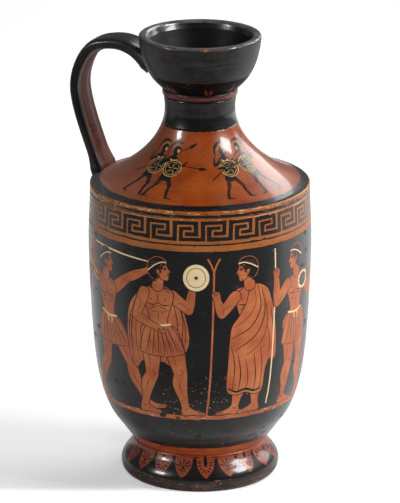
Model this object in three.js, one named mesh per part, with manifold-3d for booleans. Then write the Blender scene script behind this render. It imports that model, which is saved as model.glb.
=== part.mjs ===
// A terracotta oil jar of Greek lekythos shape: a foot, a tall body, a sloping shoulder, a short neck,
// a cup-shaped mouth and one strap handle. Each was thrown or pulled by itself and luted on with slip,
// so each is its own solid here and seats in its neighbour. Millimetres, +Z up, the axis of the jar on Z,
// the table at Z = 0 and the handle in the plane Y = 0 on the -X side.
import * as THREE from "three";
import Module from "manifold-3d";
import { mergeVertices } from "three/addons/utils/BufferGeometryUtils.js";

const wasm = await Module();
wasm.setup();

// Driving dimensions, in millimetres.
const FIT_GAP = 0.3; // slip-filled clearance between two luted pieces
const EDGE_ROUND = 0.9; // wiped edges of the clay

const FOOT_HEIGHT = 20;
const FOOT_REST_RADIUS = 40.6;
const FOOT_BULGE_RADIUS = 43.9;
const FOOT_BULGE_HEIGHT = 6;
const WAIST_RADIUS = 37;
const FOOT_RING_WIDTH = 9.5; // width of the ring that the jar stands on
const FOOT_HOLLOW_DEPTH = 5.5;
const FOOT_HOLLOW_SLOPE = 2; // how far the hollow's sides lean in
const FOOT_BUTTON_RADIUS = 14; // flat button left in the middle of the underside

const SEAT_RADIUS = 24; // turned boss under the body that centres it on the foot
const SEAT_DEPTH = 2;

const BODY_HEIGHT = 143.5;
const BODY_WALL = 5;
const BODY_FLOOR = 6;
const BOWL_RADIUS = 50.4;
const BOWL_HEIGHT = 19; // above the foot, as are the next two
const HIP_RADIUS = 56.7;
const HIP_HEIGHT = 40;
const BELLY_RADIUS = 61.3;
const BELLY_HEIGHT = 108;
const SHOULDER_RADIUS = 60.4;

const SHOULDER_EDGE_HEIGHT = 3.7; // upright edge of the shoulder above the body's rim
const SHOULDER_WALL = 5;
const SHOULDER_RISE = 33.8; // from the edge to the neck joint
const SHOULDER_LIP_DEPTH = 4; // lip that drops inside the body's rim
const SHOULDER_LIP_WALL = 4;
const THROAT_RADIUS = 19.2; // narrowest outside radius of the neck
const THROAT_RISE = 42.8; // from the shoulder's edge to the narrowest place
const THROAT_REACH = 24.4; // how far in the slope's tangent runs
const THROAT_SLOPE_RISE = 8.8; // how far up it runs
const THROAT_DROP = 17; // length of the upright tangent below the narrowest place

const NECK_RISE = 15.7; // from the shoulder joint to the collar
const NECK_TOP_RADIUS = 19.9;
const NECK_BORE_RADIUS = 13;
const NECK_SPIGOT_RADIUS = 16.8;
const NECK_FOOT_SPIGOT = 6; // how far the neck reaches down into the shoulder
const NECK_HEAD_SPIGOT = 7.4; // how far it reaches up through the collar into the mouth

const COLLAR_HEIGHT = 3.8;
const COLLAR_RADIUS = 20.6;

const MOUTH_HEIGHT = 29.5;
const MOUTH_RADIUS = 33.4;
const MOUTH_FOOT_RADIUS = 20.3;
const MOUTH_LIP_WIDTH = 4.4;
const MOUTH_BOWL_REACH = 7.2; // tangents of the cup's outer curve
const MOUTH_BOWL_RISE = 5.5;
const MOUTH_SIDE_LEAN = 1.2;
const MOUTH_SIDE_DROP = 15.2;
const CUP_DEPTH = 23.5;
const CUP_SIDE_DROP = 12;
const CUP_FLOOR_REACH = 9;
const CUP_FLOOR_RISE = 3;

const HANDLE_WIDTH_TOP = 19;
const HANDLE_WIDTH_FOOT = 20.5;
const HANDLE_THICKNESS_TOP = 7.2;
const HANDLE_THICKNESS_FOOT = 5.2;
const HANDLE_ROOT_DROP = 20.5; // the strap's middle where it starts inside the mouth, below the lip
const HANDLE_RISE_DROP = 10; // and where it has risen towards the crest
const HANDLE_RISE_REACH = 41.1; // from the jar's axis, as are the other reaches
const HANDLE_CREST_DROP = 9.2;
const HANDLE_CREST_REACH = 52.1;
const HANDLE_BEND_DROP = 13.2;
const HANDLE_BEND_REACH = 62.9;
const HANDLE_SIDE_DROP = 33.6;
const HANDLE_SIDE_REACH = 71.7;
const HANDLE_FOOT_INSET = 0.6; // outer face of the strap's foot inside the shoulder's edge
const HANDLE_ROOT_SINK = 5; // how far the strap runs on inside the jar before it is cut to the wall

const PAD_PROUD = 1.6; // clay smoothed round a handle root: how far it stands out at the wall
const PAD_EDGE = 0.5; // how thick it is at its other end
const PAD_REACH = 2.6; // how far it reaches along the strap

const TURNS = 48; // facets round the axis
const STRAP_RINGS = 30;
const STRAP_SIDES = 16;
const COLOURS = { gloss: 0x1b1c1d, clay: 0xb4552a };

// Heights that follow from the sizes above.
const bodyTop = FOOT_HEIGHT + BODY_HEIGHT;
const edgeTop = bodyTop + SHOULDER_EDGE_HEIGHT;
const neckJoint = edgeTop + SHOULDER_RISE;
const collarBottom = neckJoint + NECK_RISE;
const mouthBottom = collarBottom + COLLAR_HEIGHT;
const lipTop = mouthBottom + MOUTH_HEIGHT;
const socketRadius = NECK_SPIGOT_RADIUS + FIT_GAP;
const rimInside = SHOULDER_RADIUS - BODY_WALL;

const at = (radius, height) => new THREE.Vector2(radius, height);

// Points of a cubic curve between two ends, with its two tangent points.
function curve(start, startTangent, endTangent, end, steps) {
  return new THREE.CubicBezierCurve(start, startTangent, endTangent, end).getPoints(steps);
}

// A smooth curve through a few stations of a profile.
function through(stations, steps) {
  const points = stations.map((p) => new THREE.Vector3(p.x, p.y, 0));
  return new THREE.CatmullRomCurve3(points, false, "centripetal").getPoints(steps).map((p) => at(p.x, p.y));
}

// The same profile moved sideways by a wall's thickness, towards the inside of the jar.
function inset(points, wall) {
  return points.map((p, i) => {
    const before = points[Math.max(i - 1, 0)];
    const after = points[Math.min(i + 1, points.length - 1)];
    const along = after.clone().sub(before).normalize();
    return at(p.x - wall * along.y, p.y + wall * along.x);
  });
}

// A solid of revolution about Z from a profile that closes on itself or on the axis.
function turned(profile) {
  const closed = profile[0].x === 0 ? profile : [...profile, profile[0]];
  return new THREE.LatheGeometry(closed, TURNS).rotateX(Math.PI / 2);
}

function solid(geometry) {
  const bare = new THREE.BufferGeometry().setAttribute("position", geometry.getAttribute("position"));
  if (geometry.index) bare.setIndex(geometry.index);
  const merged = mergeVertices(bare, 1e-4);
  return new wasm.Manifold(
    new wasm.Mesh({
      numProp: 3,
      vertProperties: new Float32Array(merged.getAttribute("position").array),
      triVerts: new Uint32Array(merged.index.array),
    }),
  );
}

function geometryOf(manifold) {
  const mesh = manifold.getMesh();
  return new THREE.BufferGeometry()
    .setAttribute("position", new THREE.BufferAttribute(new Float32Array(mesh.vertProperties), 3))
    .setIndex(new THREE.BufferAttribute(new Uint32Array(mesh.triVerts), 1));
}

// Outer line of the foot, from the ring that it stands on up to the waist.
function footOutline() {
  const rest = at(FOOT_REST_RADIUS, 0);
  const bulge = at(FOOT_BULGE_RADIUS, FOOT_BULGE_HEIGHT);
  const waist = at(WAIST_RADIUS, FOOT_HEIGHT);
  const lift = (FOOT_HEIGHT - FOOT_BULGE_HEIGHT) * 0.42;
  const lower = curve(rest, at(FOOT_REST_RADIUS + 1.7, 0.3), at(bulge.x, bulge.y * 0.5), bulge, 5);
  const upper = curve(bulge, at(bulge.x, bulge.y + lift), at(waist.x, waist.y - lift), waist, 8);
  return [...lower, ...upper.slice(1)];
}

function foot() {
  const ringInside = FOOT_REST_RADIUS - FOOT_RING_WIDTH;
  const seat = SEAT_RADIUS + FIT_GAP;
  const seatFloor = FOOT_HEIGHT - SEAT_DEPTH - FIT_GAP;
  return turned([
    at(0, 0),
    at(FOOT_BUTTON_RADIUS, 0),
    at(FOOT_BUTTON_RADIUS + FOOT_HOLLOW_SLOPE, FOOT_HOLLOW_DEPTH),
    at(ringInside - FOOT_HOLLOW_SLOPE, FOOT_HOLLOW_DEPTH),
    at(ringInside, 0),
    ...footOutline(),
    at(seat, FOOT_HEIGHT),
    at(seat, seatFloor),
    at(0, seatFloor),
  ]);
}

// Outer line of the body, from the waist to the rim that carries the shoulder.
function bodyOutline() {
  return through(
    [
      at(WAIST_RADIUS, FOOT_HEIGHT),
      at((WAIST_RADIUS + BOWL_RADIUS) / 2 + 0.6, FOOT_HEIGHT + BOWL_HEIGHT / 2 + 0.5),
      at(BOWL_RADIUS, FOOT_HEIGHT + BOWL_HEIGHT),
      at(HIP_RADIUS, FOOT_HEIGHT + HIP_HEIGHT),
      at(BELLY_RADIUS, FOOT_HEIGHT + BELLY_HEIGHT),
      at(SHOULDER_RADIUS, bodyTop),
    ],
    18,
  );
}

function body() {
  const floorTop = FOOT_HEIGHT + BODY_FLOOR;
  const inside = inset(bodyOutline(), BODY_WALL).filter(
    (p) => p.y > floorTop + 1 && p.y < bodyTop - SHOULDER_LIP_DEPTH - 2,
  );
  return turned([
    at(0, FOOT_HEIGHT - SEAT_DEPTH),
    at(SEAT_RADIUS, FOOT_HEIGHT - SEAT_DEPTH),
    at(SEAT_RADIUS, FOOT_HEIGHT),
    ...bodyOutline(),
    at(rimInside, bodyTop),
    at(rimInside, bodyTop - SHOULDER_LIP_DEPTH - FIT_GAP),
    ...inside.reverse(),
    at(inside.at(-1).x - BODY_WALL / 2, floorTop),
    at(0, floorTop),
  ]);
}

// The one sweep from the shoulder's edge up to the neck's narrowest place.
function throatSweep(steps) {
  const edge = at(SHOULDER_RADIUS - EDGE_ROUND, edgeTop);
  return curve(
    edge,
    at(edge.x - THROAT_REACH, edgeTop + THROAT_SLOPE_RISE),
    at(THROAT_RADIUS, edgeTop + THROAT_RISE - THROAT_DROP),
    at(THROAT_RADIUS, edgeTop + THROAT_RISE),
    steps,
  );
}

// Radius of a rising outline at a height, by straight lines between its points.
function radiusAt(points, height) {
  const i = Math.max(points.findIndex((p) => p.y >= height), 1);
  const share = (height - points[i - 1].y) / (points[i].y - points[i - 1].y);
  return points[i - 1].x + share * (points[i].x - points[i - 1].x);
}

const jointRadius = () => radiusAt(throatSweep(60), neckJoint);

function shoulderOutline() {
  return [
    at(SHOULDER_RADIUS, bodyTop),
    at(SHOULDER_RADIUS, edgeTop - EDGE_ROUND),
    ...throatSweep(20).filter((p) => p.y < neckJoint - 0.8),
    at(jointRadius(), neckJoint),
  ];
}

function shoulder() {
  const lipOutside = rimInside - FIT_GAP;
  const lipInside = lipOutside - SHOULDER_LIP_WALL;
  const socketFloor = neckJoint - NECK_FOOT_SPIGOT - FIT_GAP;
  const inside = inset(throatSweep(20), SHOULDER_WALL).filter(
    (p) => p.x < lipInside - 1 && p.x > socketRadius + 1 && p.y < socketFloor - 1,
  );
  return turned([
    ...shoulderOutline(),
    at(socketRadius, neckJoint),
    at(socketRadius, socketFloor),
    ...inside.reverse(),
    at(lipInside, edgeTop - EDGE_ROUND - SHOULDER_WALL / 2),
    at(lipInside, bodyTop - SHOULDER_LIP_DEPTH),
    at(lipOutside, bodyTop - SHOULDER_LIP_DEPTH),
    at(lipOutside, bodyTop),
  ]);
}

function neckOutline() {
  const sweep = throatSweep(30).filter((p) => p.y > neckJoint + 0.4);
  const top = sweep.at(-1);
  const flare = curve(top, at(top.x, (top.y * 2 + collarBottom) / 3), at(NECK_TOP_RADIUS, collarBottom - 1.5), at(NECK_TOP_RADIUS, collarBottom), 4);
  return [at(jointRadius(), neckJoint), ...sweep, ...flare.slice(1)];
}

function neck() {
  return turned([
    at(NECK_BORE_RADIUS, neckJoint - NECK_FOOT_SPIGOT),
    at(NECK_SPIGOT_RADIUS, neckJoint - NECK_FOOT_SPIGOT),
    at(NECK_SPIGOT_RADIUS, neckJoint),
    ...neckOutline(),
    at(NECK_SPIGOT_RADIUS, collarBottom),
    at(NECK_SPIGOT_RADIUS, collarBottom + NECK_HEAD_SPIGOT),
    at(NECK_BORE_RADIUS, collarBottom + NECK_HEAD_SPIGOT),
  ]);
}

// The ring of clay that covers the joint between neck and mouth.
function collar() {
  const soft = EDGE_ROUND;
  return turned([
    at(socketRadius, collarBottom),
    at(COLLAR_RADIUS - soft, collarBottom),
    at(COLLAR_RADIUS, collarBottom + soft),
    at(COLLAR_RADIUS, mouthBottom - soft),
    at(COLLAR_RADIUS - soft / 2, mouthBottom),
    at(socketRadius, mouthBottom),
  ]);
}

function mouthOutline() {
  const bottom = at(MOUTH_FOOT_RADIUS, mouthBottom);
  const side = at(MOUTH_RADIUS, lipTop - EDGE_ROUND);
  return curve(
    bottom,
    at(bottom.x + MOUTH_BOWL_REACH, bottom.y + MOUTH_BOWL_RISE),
    at(side.x - MOUTH_SIDE_LEAN, side.y - MOUTH_SIDE_DROP),
    side,
    11,
  );
}

function mouth() {
  const inner = MOUTH_RADIUS - MOUTH_LIP_WIDTH;
  const socketTop = collarBottom + NECK_HEAD_SPIGOT + FIT_GAP;
  const cupFloor = lipTop - CUP_DEPTH;
  const cup = curve(
    at(inner, lipTop - EDGE_ROUND),
    at(inner, lipTop - EDGE_ROUND - CUP_SIDE_DROP),
    at(NECK_BORE_RADIUS + CUP_FLOOR_REACH, cupFloor + CUP_FLOOR_RISE),
    at(NECK_BORE_RADIUS, cupFloor),
    9,
  );
  return turned([
    at(socketRadius, mouthBottom),
    ...mouthOutline(),
    at(MOUTH_RADIUS - EDGE_ROUND, lipTop),
    at(inner + EDGE_ROUND, lipTop),
    ...cup,
    at(NECK_BORE_RADIUS, socketTop),
    at(socketRadius, socketTop),
  ]);
}

// Centre line of the strap handle, from inside the mouth's wall over the crest and down into the shoulder.
function handleLine() {
  const rootHeight = lipTop - HANDLE_ROOT_DROP;
  const stations = [
    [radiusAt(mouthOutline(), rootHeight) - HANDLE_ROOT_SINK, rootHeight],
    [HANDLE_RISE_REACH, lipTop - HANDLE_RISE_DROP],
    [HANDLE_CREST_REACH, lipTop - HANDLE_CREST_DROP],
    [HANDLE_BEND_REACH, lipTop - HANDLE_BEND_DROP],
    [HANDLE_SIDE_REACH, lipTop - HANDLE_SIDE_DROP],
    [SHOULDER_RADIUS - HANDLE_FOOT_INSET - HANDLE_THICKNESS_FOOT / 2 - 1, edgeTop - HANDLE_ROOT_SINK],
  ];
  return new THREE.CatmullRomCurve3(
    stations.map(([x, z]) => new THREE.Vector3(-x, 0, z)),
    false,
    "centripetal",
  );
}

// A strap with a flat rounded section that narrows from the mouth to the shoulder, between two shares
// of the line's length. grow gives what is added to every side of the section at a share.
function strap(grow, from = 0, to = 1, rings = STRAP_RINGS) {
  const line = handleLine();
  const across = new THREE.Vector3(0, 1, 0);
  const corner = 0.55; // lower is squarer
  const positions = [];
  const index = [];
  for (let i = 0; i <= rings; i++) {
    const share = THREE.MathUtils.lerp(from, to, i / rings);
    const centre = line.getPointAt(share);
    const out = new THREE.Vector3().crossVectors(across, line.getTangentAt(share)).normalize();
    const width = THREE.MathUtils.lerp(HANDLE_WIDTH_TOP, HANDLE_WIDTH_FOOT, share);
    const thickness = THREE.MathUtils.lerp(HANDLE_THICKNESS_TOP, HANDLE_THICKNESS_FOOT, share);
    for (let k = 0; k < STRAP_SIDES; k++) {
      const turn = (2 * Math.PI * k) / STRAP_SIDES;
      const c = Math.cos(turn);
      const s = Math.sin(turn);
      const w = Math.sign(c) * Math.abs(c) ** corner * (width / 2 + grow(share));
      const t = Math.sign(s) * Math.abs(s) ** corner * (thickness / 2 + grow(share));
      const p = centre.clone().addScaledVector(across, w).addScaledVector(out, t);
      positions.push(p.x, p.y, p.z);
    }
  }
  for (let i = 0; i < rings; i++) {
    for (let k = 0; k < STRAP_SIDES; k++) {
      const a = i * STRAP_SIDES + k;
      const b = i * STRAP_SIDES + ((k + 1) % STRAP_SIDES);
      index.push(a, a + STRAP_SIDES, b, b, a + STRAP_SIDES, b + STRAP_SIDES);
    }
  }
  const last = rings * STRAP_SIDES;
  for (let k = 1; k < STRAP_SIDES - 1; k++) {
    index.push(0, k, k + 1, last, last + k + 1, last + k);
  }
  const geometry = new THREE.BufferGeometry()
    .setAttribute("position", new THREE.Float32BufferAttribute(positions, 3))
    .setIndex(index);
  return solid(geometry);
}

// Everything inside an outline of the jar, grown by a gap.
function insideOf(outline, gap) {
  const grown = inset(outline, -gap);
  return solid(turned([at(0, grown[0].y), ...grown, at(0, grown.at(-1).y)]));
}

// The jar's mouth and shoulder as one filled body that the handle and its pads are cut to.
function jarSolid(gap) {
  const low = insideOf([at(SHOULDER_RADIUS, bodyTop - HANDLE_ROOT_SINK), ...shoulderOutline().slice(1)], gap);
  const high = insideOf([...mouthOutline(), at(MOUTH_RADIUS, lipTop + PAD_PROUD)], gap);
  return low.add(high);
}

function handle() {
  return geometryOf(strap(() => 0).subtract(jarSolid(FIT_GAP)));
}

// Share of the handle's line at which it passes through an outline, coming from the end given.
function wallShare(outline, fromFoot) {
  const line = handleLine();
  const steps = 400;
  for (let i = 0; i <= steps; i++) {
    const share = fromFoot ? 1 - i / steps : i / steps;
    const p = line.getPointAt(share);
    if (-p.x > radiusAt(outline, p.z) || p.z > outline.at(-1).y) return share;
  }
  return fromFoot ? 1 : 0;
}

// Clay smoothed round one root of the handle: a collar that thins out along the strap.
function rootPad(outline, fromFoot) {
  const wall = wallShare(outline, fromFoot);
  const reach = PAD_REACH / handleLine().getLength();
  const grow = (share) => {
    const past = THREE.MathUtils.clamp(Math.abs(share - wall) / reach, 0, 1);
    const outside = fromFoot ? share < wall : share > wall;
    return THREE.MathUtils.lerp(PAD_PROUD, FIT_GAP + PAD_EDGE, outside ? past : 0);
  };
  const sink = HANDLE_ROOT_SINK / handleLine().getLength() / 2;
  const end = fromFoot ? [wall - reach, wall + sink] : [wall - sink, wall + reach];
  const collarClay = strap(grow, ...end, 12);
  const room = jarSolid(FIT_GAP).add(strap(() => FIT_GAP));
  return geometryOf(collarClay.subtract(room));
}

const finish = (color, roughness) => new THREE.MeshStandardMaterial({ color, roughness, metalness: 0 });
const gloss = () => finish(COLOURS.gloss, 0.25);
const clay = () => finish(COLOURS.clay, 0.45);

const pieces = {
  foot: [foot(), clay()],
  body: [body(), gloss()],
  shoulder: [shoulder(), clay()],
  neck: [neck(), gloss()],
  neck_collar: [collar(), clay()],
  mouth: [mouth(), gloss()],
  handle: [handle(), gloss()],
  handle_upper_pad: [rootPad(mouthOutline(), false), gloss()],
  handle_lower_pad: [rootPad(shoulderOutline(), true), clay()],
};

const jar = new THREE.Group();
for (const [name, [geometry, material]] of Object.entries(pieces)) {
  const mesh = new THREE.Mesh(geometry, material);
  mesh.name = name;
  jar.add(mesh);
}

export default jar;
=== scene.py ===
"""Looks of a terracotta oil jar of lekythos shape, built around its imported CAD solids.

Each turned piece is a profile carried round the jar's axis. Its outer wall is unrolled flat, the painter's
marks are laid on that sheet as outlines in millimetres, and one triangulation of sheet and marks together is
rolled back up, so that every painted shape is a real region of the wall with its own finish.
"""

from __future__ import annotations

import logging
from dataclasses import dataclass, field
from enum import Enum

import bpy
import numpy as np
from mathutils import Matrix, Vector
from mathutils.geometry import delaunay_2d_cdt

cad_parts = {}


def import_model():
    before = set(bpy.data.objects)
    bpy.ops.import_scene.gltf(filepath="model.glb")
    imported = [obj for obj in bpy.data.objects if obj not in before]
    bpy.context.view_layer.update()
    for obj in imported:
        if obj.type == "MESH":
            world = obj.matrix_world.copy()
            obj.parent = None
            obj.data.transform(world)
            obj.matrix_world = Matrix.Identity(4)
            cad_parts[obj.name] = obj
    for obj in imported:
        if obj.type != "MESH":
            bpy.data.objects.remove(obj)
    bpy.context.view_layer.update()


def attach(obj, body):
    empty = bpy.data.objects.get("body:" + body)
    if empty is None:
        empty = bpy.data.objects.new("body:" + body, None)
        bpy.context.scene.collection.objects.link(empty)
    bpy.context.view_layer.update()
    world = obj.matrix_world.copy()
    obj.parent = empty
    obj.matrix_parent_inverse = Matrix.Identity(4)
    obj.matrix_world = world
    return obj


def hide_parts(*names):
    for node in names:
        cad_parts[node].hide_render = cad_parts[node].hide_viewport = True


log = logging.getLogger("oil_jar")

MM = 0.001
SHEET_RADIUS = 60.0  # radius at which a radian of the unrolled sheet is drawn true, in mm
NOISE_SPAN = (0.3, 0.7)  # nearly all values of a noise texture lie between these
JAR_MIDDLE = Vector((0, 0, 0.12))  # what the lamps point at
Point = tuple[float, float]
Line = list[Point] | np.ndarray


class Paint(Enum):
    """What covers a patch of the jar."""

    GLOSS = "black_gloss_slip"
    BAND = "dusty_band_slip"
    WORN_GLOSS = "worn_gloss_slip"
    CLAY = "reserved_clay"
    FIGURE = "figure_clay"
    KEY = "key_band_clay"
    FOOT = "foot_clay"
    LEAF = "rubbed_leaf_clay"
    EDGE = "worn_foot_edge"
    CREAM = "added_cream"
    DILUTE = "dilute_slip"
    STRAP = "strap_gloss_slip"
    WASH = "handle_wash"
    RING = "worn_ring_clay"
    OCHRE = "faded_cream"
    BARE = "bare_clay"
    RIM = "rubbed_rim_slip"
    INNER = "shaded_inner_gloss_slip"
    ROOT = "red_root_wash"


# Colours and nodes


def linear(colour: str) -> tuple[float, float, float, float]:
    """Turn an sRGB hex colour into the linear values that Blender works in.

    Args:
        colour: Six hex digits after a hash sign.

    Returns:
        Linear red, green and blue, and an alpha of 1.
    """
    values = np.array([int(colour[i : i + 2], 16) for i in (1, 3, 5)]) / 255
    curve = ((values + 0.055) / 1.055) ** 2.4
    return (*np.where(values <= 0.04045, values / 12.92, curve).tolist(), 1.0)


def wire(made: bpy.types.Node, settings: dict[str | int, object]) -> bpy.types.Node:
    """Give a node its settings and links.

    Args:
        made: The node.
        settings: Values by the name of a property, or by the name or number of an input. A node, which
            stands for its first output, or a socket is linked.

    Returns:
        The same node.
    """
    for name, value in settings.items():
        if isinstance(value, bpy.types.Node):
            value = value.outputs[0]
        if isinstance(value, bpy.types.NodeSocket):
            made.id_data.links.new(value, made.inputs[name])
        elif isinstance(name, str) and hasattr(made, name):
            setattr(made, name, value)
        else:
            made.inputs[name].default_value = value
    return made


def node(tree: bpy.types.NodeTree, kind: str, settings: dict[str | int, object]) -> bpy.types.Node:
    """Add a node of a kind, named as Blender does after its "ShaderNode", with its settings and links."""
    return wire(tree.nodes.new("ShaderNode" + kind), settings)


def span(start: float, end: float, low: object = 0.0, high: object = 1.0) -> dict[str, object]:
    """Return the inputs of a Map Range node: the range that comes in and the one that goes out."""
    return {"From Min": start, "From Max": end, "To Min": low, "To Max": high}


@dataclass(frozen=True)
class Slip:
    """A fired clay surface, bare or under slip, as it was wiped, brushed and burnished on the wheel.

    Two colours drift into each other in soft clouds, fine lines run round the jar where the brush or the
    burnishing stone went, and small chips and pits show what is underneath.

    Attributes:
        paint: What it is.
        main: Its colour.
        drift: The colour that the clouds drift to.
        under: The colour in the chips.
        roughness: Roughness at the bottom and the top of the lines.
        cloud_mm: Size of the clouds.
        line_mm: Distance between the lines, coarser than a brush's hairs leave them, so that they show.
        lines: How much the lines darken and lighten the colour.
        chips: How much of it is chipped.
        coat: Strength of the glassy skin that the firing left.
        blotch: How much duller it is in the clouds.
        dust_and_sheen: How thick the film is on the side beside the handle: partly dust, partly a painted
            pale sheen.
        dust_and_sheen_tint: The film's colour, partly dust and partly the painted sheen.
        gleam: Strength of its mirror, 0.5 being that of glass.
        strap: Whether it lies on the handle, where the lines run lengthwise.
    """

    paint: Paint
    main: str
    drift: str
    under: str
    roughness: Point = (0.26, 0.4)
    cloud_mm: float = 22.0
    line_mm: float = 0.8
    lines: float = 0.25
    chips: float = 0.3
    coat: float = 0.0
    blotch: float = 0.08
    dust_and_sheen: float = 0.0
    dust_and_sheen_tint: str = "#a07060"
    gleam: float = 0.5
    strap: bool = False

    def material(self) -> bpy.types.Material:
        """Make the material.

        Returns:
            A node material that reads Object coordinates in millimetres.
        """
        made = bpy.data.materials.new(self.paint.value)
        made.use_nodes = True
        tree = made.node_tree
        place = node(tree, "TexCoord", {}).outputs["Object"]
        place = node(tree, "VectorMath", {"operation": "SCALE", 0: place, "Scale": 1 / MM})

        # Brush and burnishing lines: long round the jar and short up it, or lengthwise on the strap.
        slow, fine = 0.035, 1 / self.line_mm
        way = (slow, fine, slow) if self.strap else (slow, slow, fine)
        along = node(tree, "VectorMath", {"operation": "MULTIPLY", 0: place, 1: way})
        lines = node(tree, "TexNoise", {"Scale": 1.0, "Detail": 3.0, "Vector": along})
        shade = node(tree, "MapRange", {"Value": lines, **span(*NOISE_SPAN, 1 - self.lines, 1 + self.lines)})

        # Clouds: the slip or the clay goes from one colour to the other, a few times round the jar.
        cloud = {"Scale": 1 / self.cloud_mm, "Detail": 4.0, "Roughness": 0.6, "Vector": place}
        clouds = node(tree, "TexNoise", cloud)
        share = node(tree, "MapRange", {"Value": clouds, **span(0.35, 0.68)})
        drift = {"data_type": "RGBA", 0: share, 6: linear(self.main), 7: linear(self.drift)}
        colour = node(tree, "Mix", drift).outputs[2]
        lined = node(tree, "VectorMath", {"operation": "MULTIPLY", 0: colour, 1: shade})

        # Chips: spots of about 1 mm of the layer below, thicker in some places than in others.
        spot_mm, region_mm, sharp = 1.1, 16.0, 0.02
        spot = {"Scale": 1 / spot_mm, "Detail": 2.0, "Roughness": 0.7, "Vector": place}
        spots = node(tree, "TexNoise", spot)
        region = node(tree, "TexNoise", {"Scale": 1 / region_mm, "Detail": 2.0, "Vector": place})
        both = node(tree, "Math", {"operation": "MULTIPLY", 0: spots, 1: region})
        edge = 0.46 - 0.12 * self.chips
        chipped = node(tree, "MapRange", {"Value": both, **span(edge, edge + sharp)})
        chip = {"data_type": "RGBA", 0: chipped, 6: lined, 7: linear(self.under)}
        colour = node(tree, "Mix", chip).outputs[2]

        # Dust and painted sheen: a dull film on the jar's -X side beside the handle. Its colour is partly
        # dust and partly a painted pale reflection.
        side = node(tree, "SeparateXYZ", {0: place}).outputs["X"]
        dust_and_sheen_share = node(tree, "MapRange", {"Value": side, **span(-6.0, -46.0, 0.0, self.dust_and_sheen)})
        tinted_by_dust_and_sheen = node(tree, "Mix", {"data_type": "RGBA", 0: dust_and_sheen_share, 6: colour, 7: linear(self.dust_and_sheen_tint)}).outputs[2]

        # Roughness: by the lines, by the clouds where the slip is thin or rubbed, and dull in the chips.
        dull = node(tree, "MapRange", {"Value": lines, **span(*NOISE_SPAN, *self.roughness)})
        for layer, more in ((share, self.blotch), (chipped, 0.35), (dust_and_sheen_share, 0.25)):
            dull = node(tree, "Math", {"operation": "MULTIPLY_ADD", 0: layer, 1: more, 2: dull})

        # Relief: grooves and chips of hundredths of a millimetre on a wall that swells a quarter of one.
        groove_mm, swell_mm = 0.03, 0.25
        groove = node(tree, "Math", {"operation": "SUBTRACT", 0: lines, 1: chipped})
        grain = node(tree, "Math", {"operation": "MULTIPLY", 0: groove, 1: groove_mm})
        height = node(tree, "Math", {"operation": "MULTIPLY_ADD", 0: clouds, 1: swell_mm, 2: grain})
        relief = node(tree, "Bump", {"Strength": 0.5, "Distance": MM, "Height": height})

        shader = tree.nodes["Principled BSDF"]
        wire(shader, {"Base Color": tinted_by_dust_and_sheen, "Roughness": dull, "Normal": relief})
        wire(shader, {"Specular IOR Level": self.gleam})
        if self.dust_and_sheen:
            wire(shader, {"Sheen Weight": dust_and_sheen_share, "Sheen Roughness": 0.3, "Sheen Tint": linear(self.dust_and_sheen_tint)})
        if self.coat:
            fade = {"operation": "MULTIPLY_ADD"}
            lost = node(tree, "Math", {**fade, 0: dust_and_sheen_share, 1: 0.6, 2: chipped})
            skin = node(tree, "Math", {**fade, "use_clamp": True, 0: lost, 1: -self.coat, 2: self.coat})
            wire(shader, {"Coat Weight": skin, "Coat Roughness": 0.09, "Coat Normal": relief})
        return made


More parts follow.
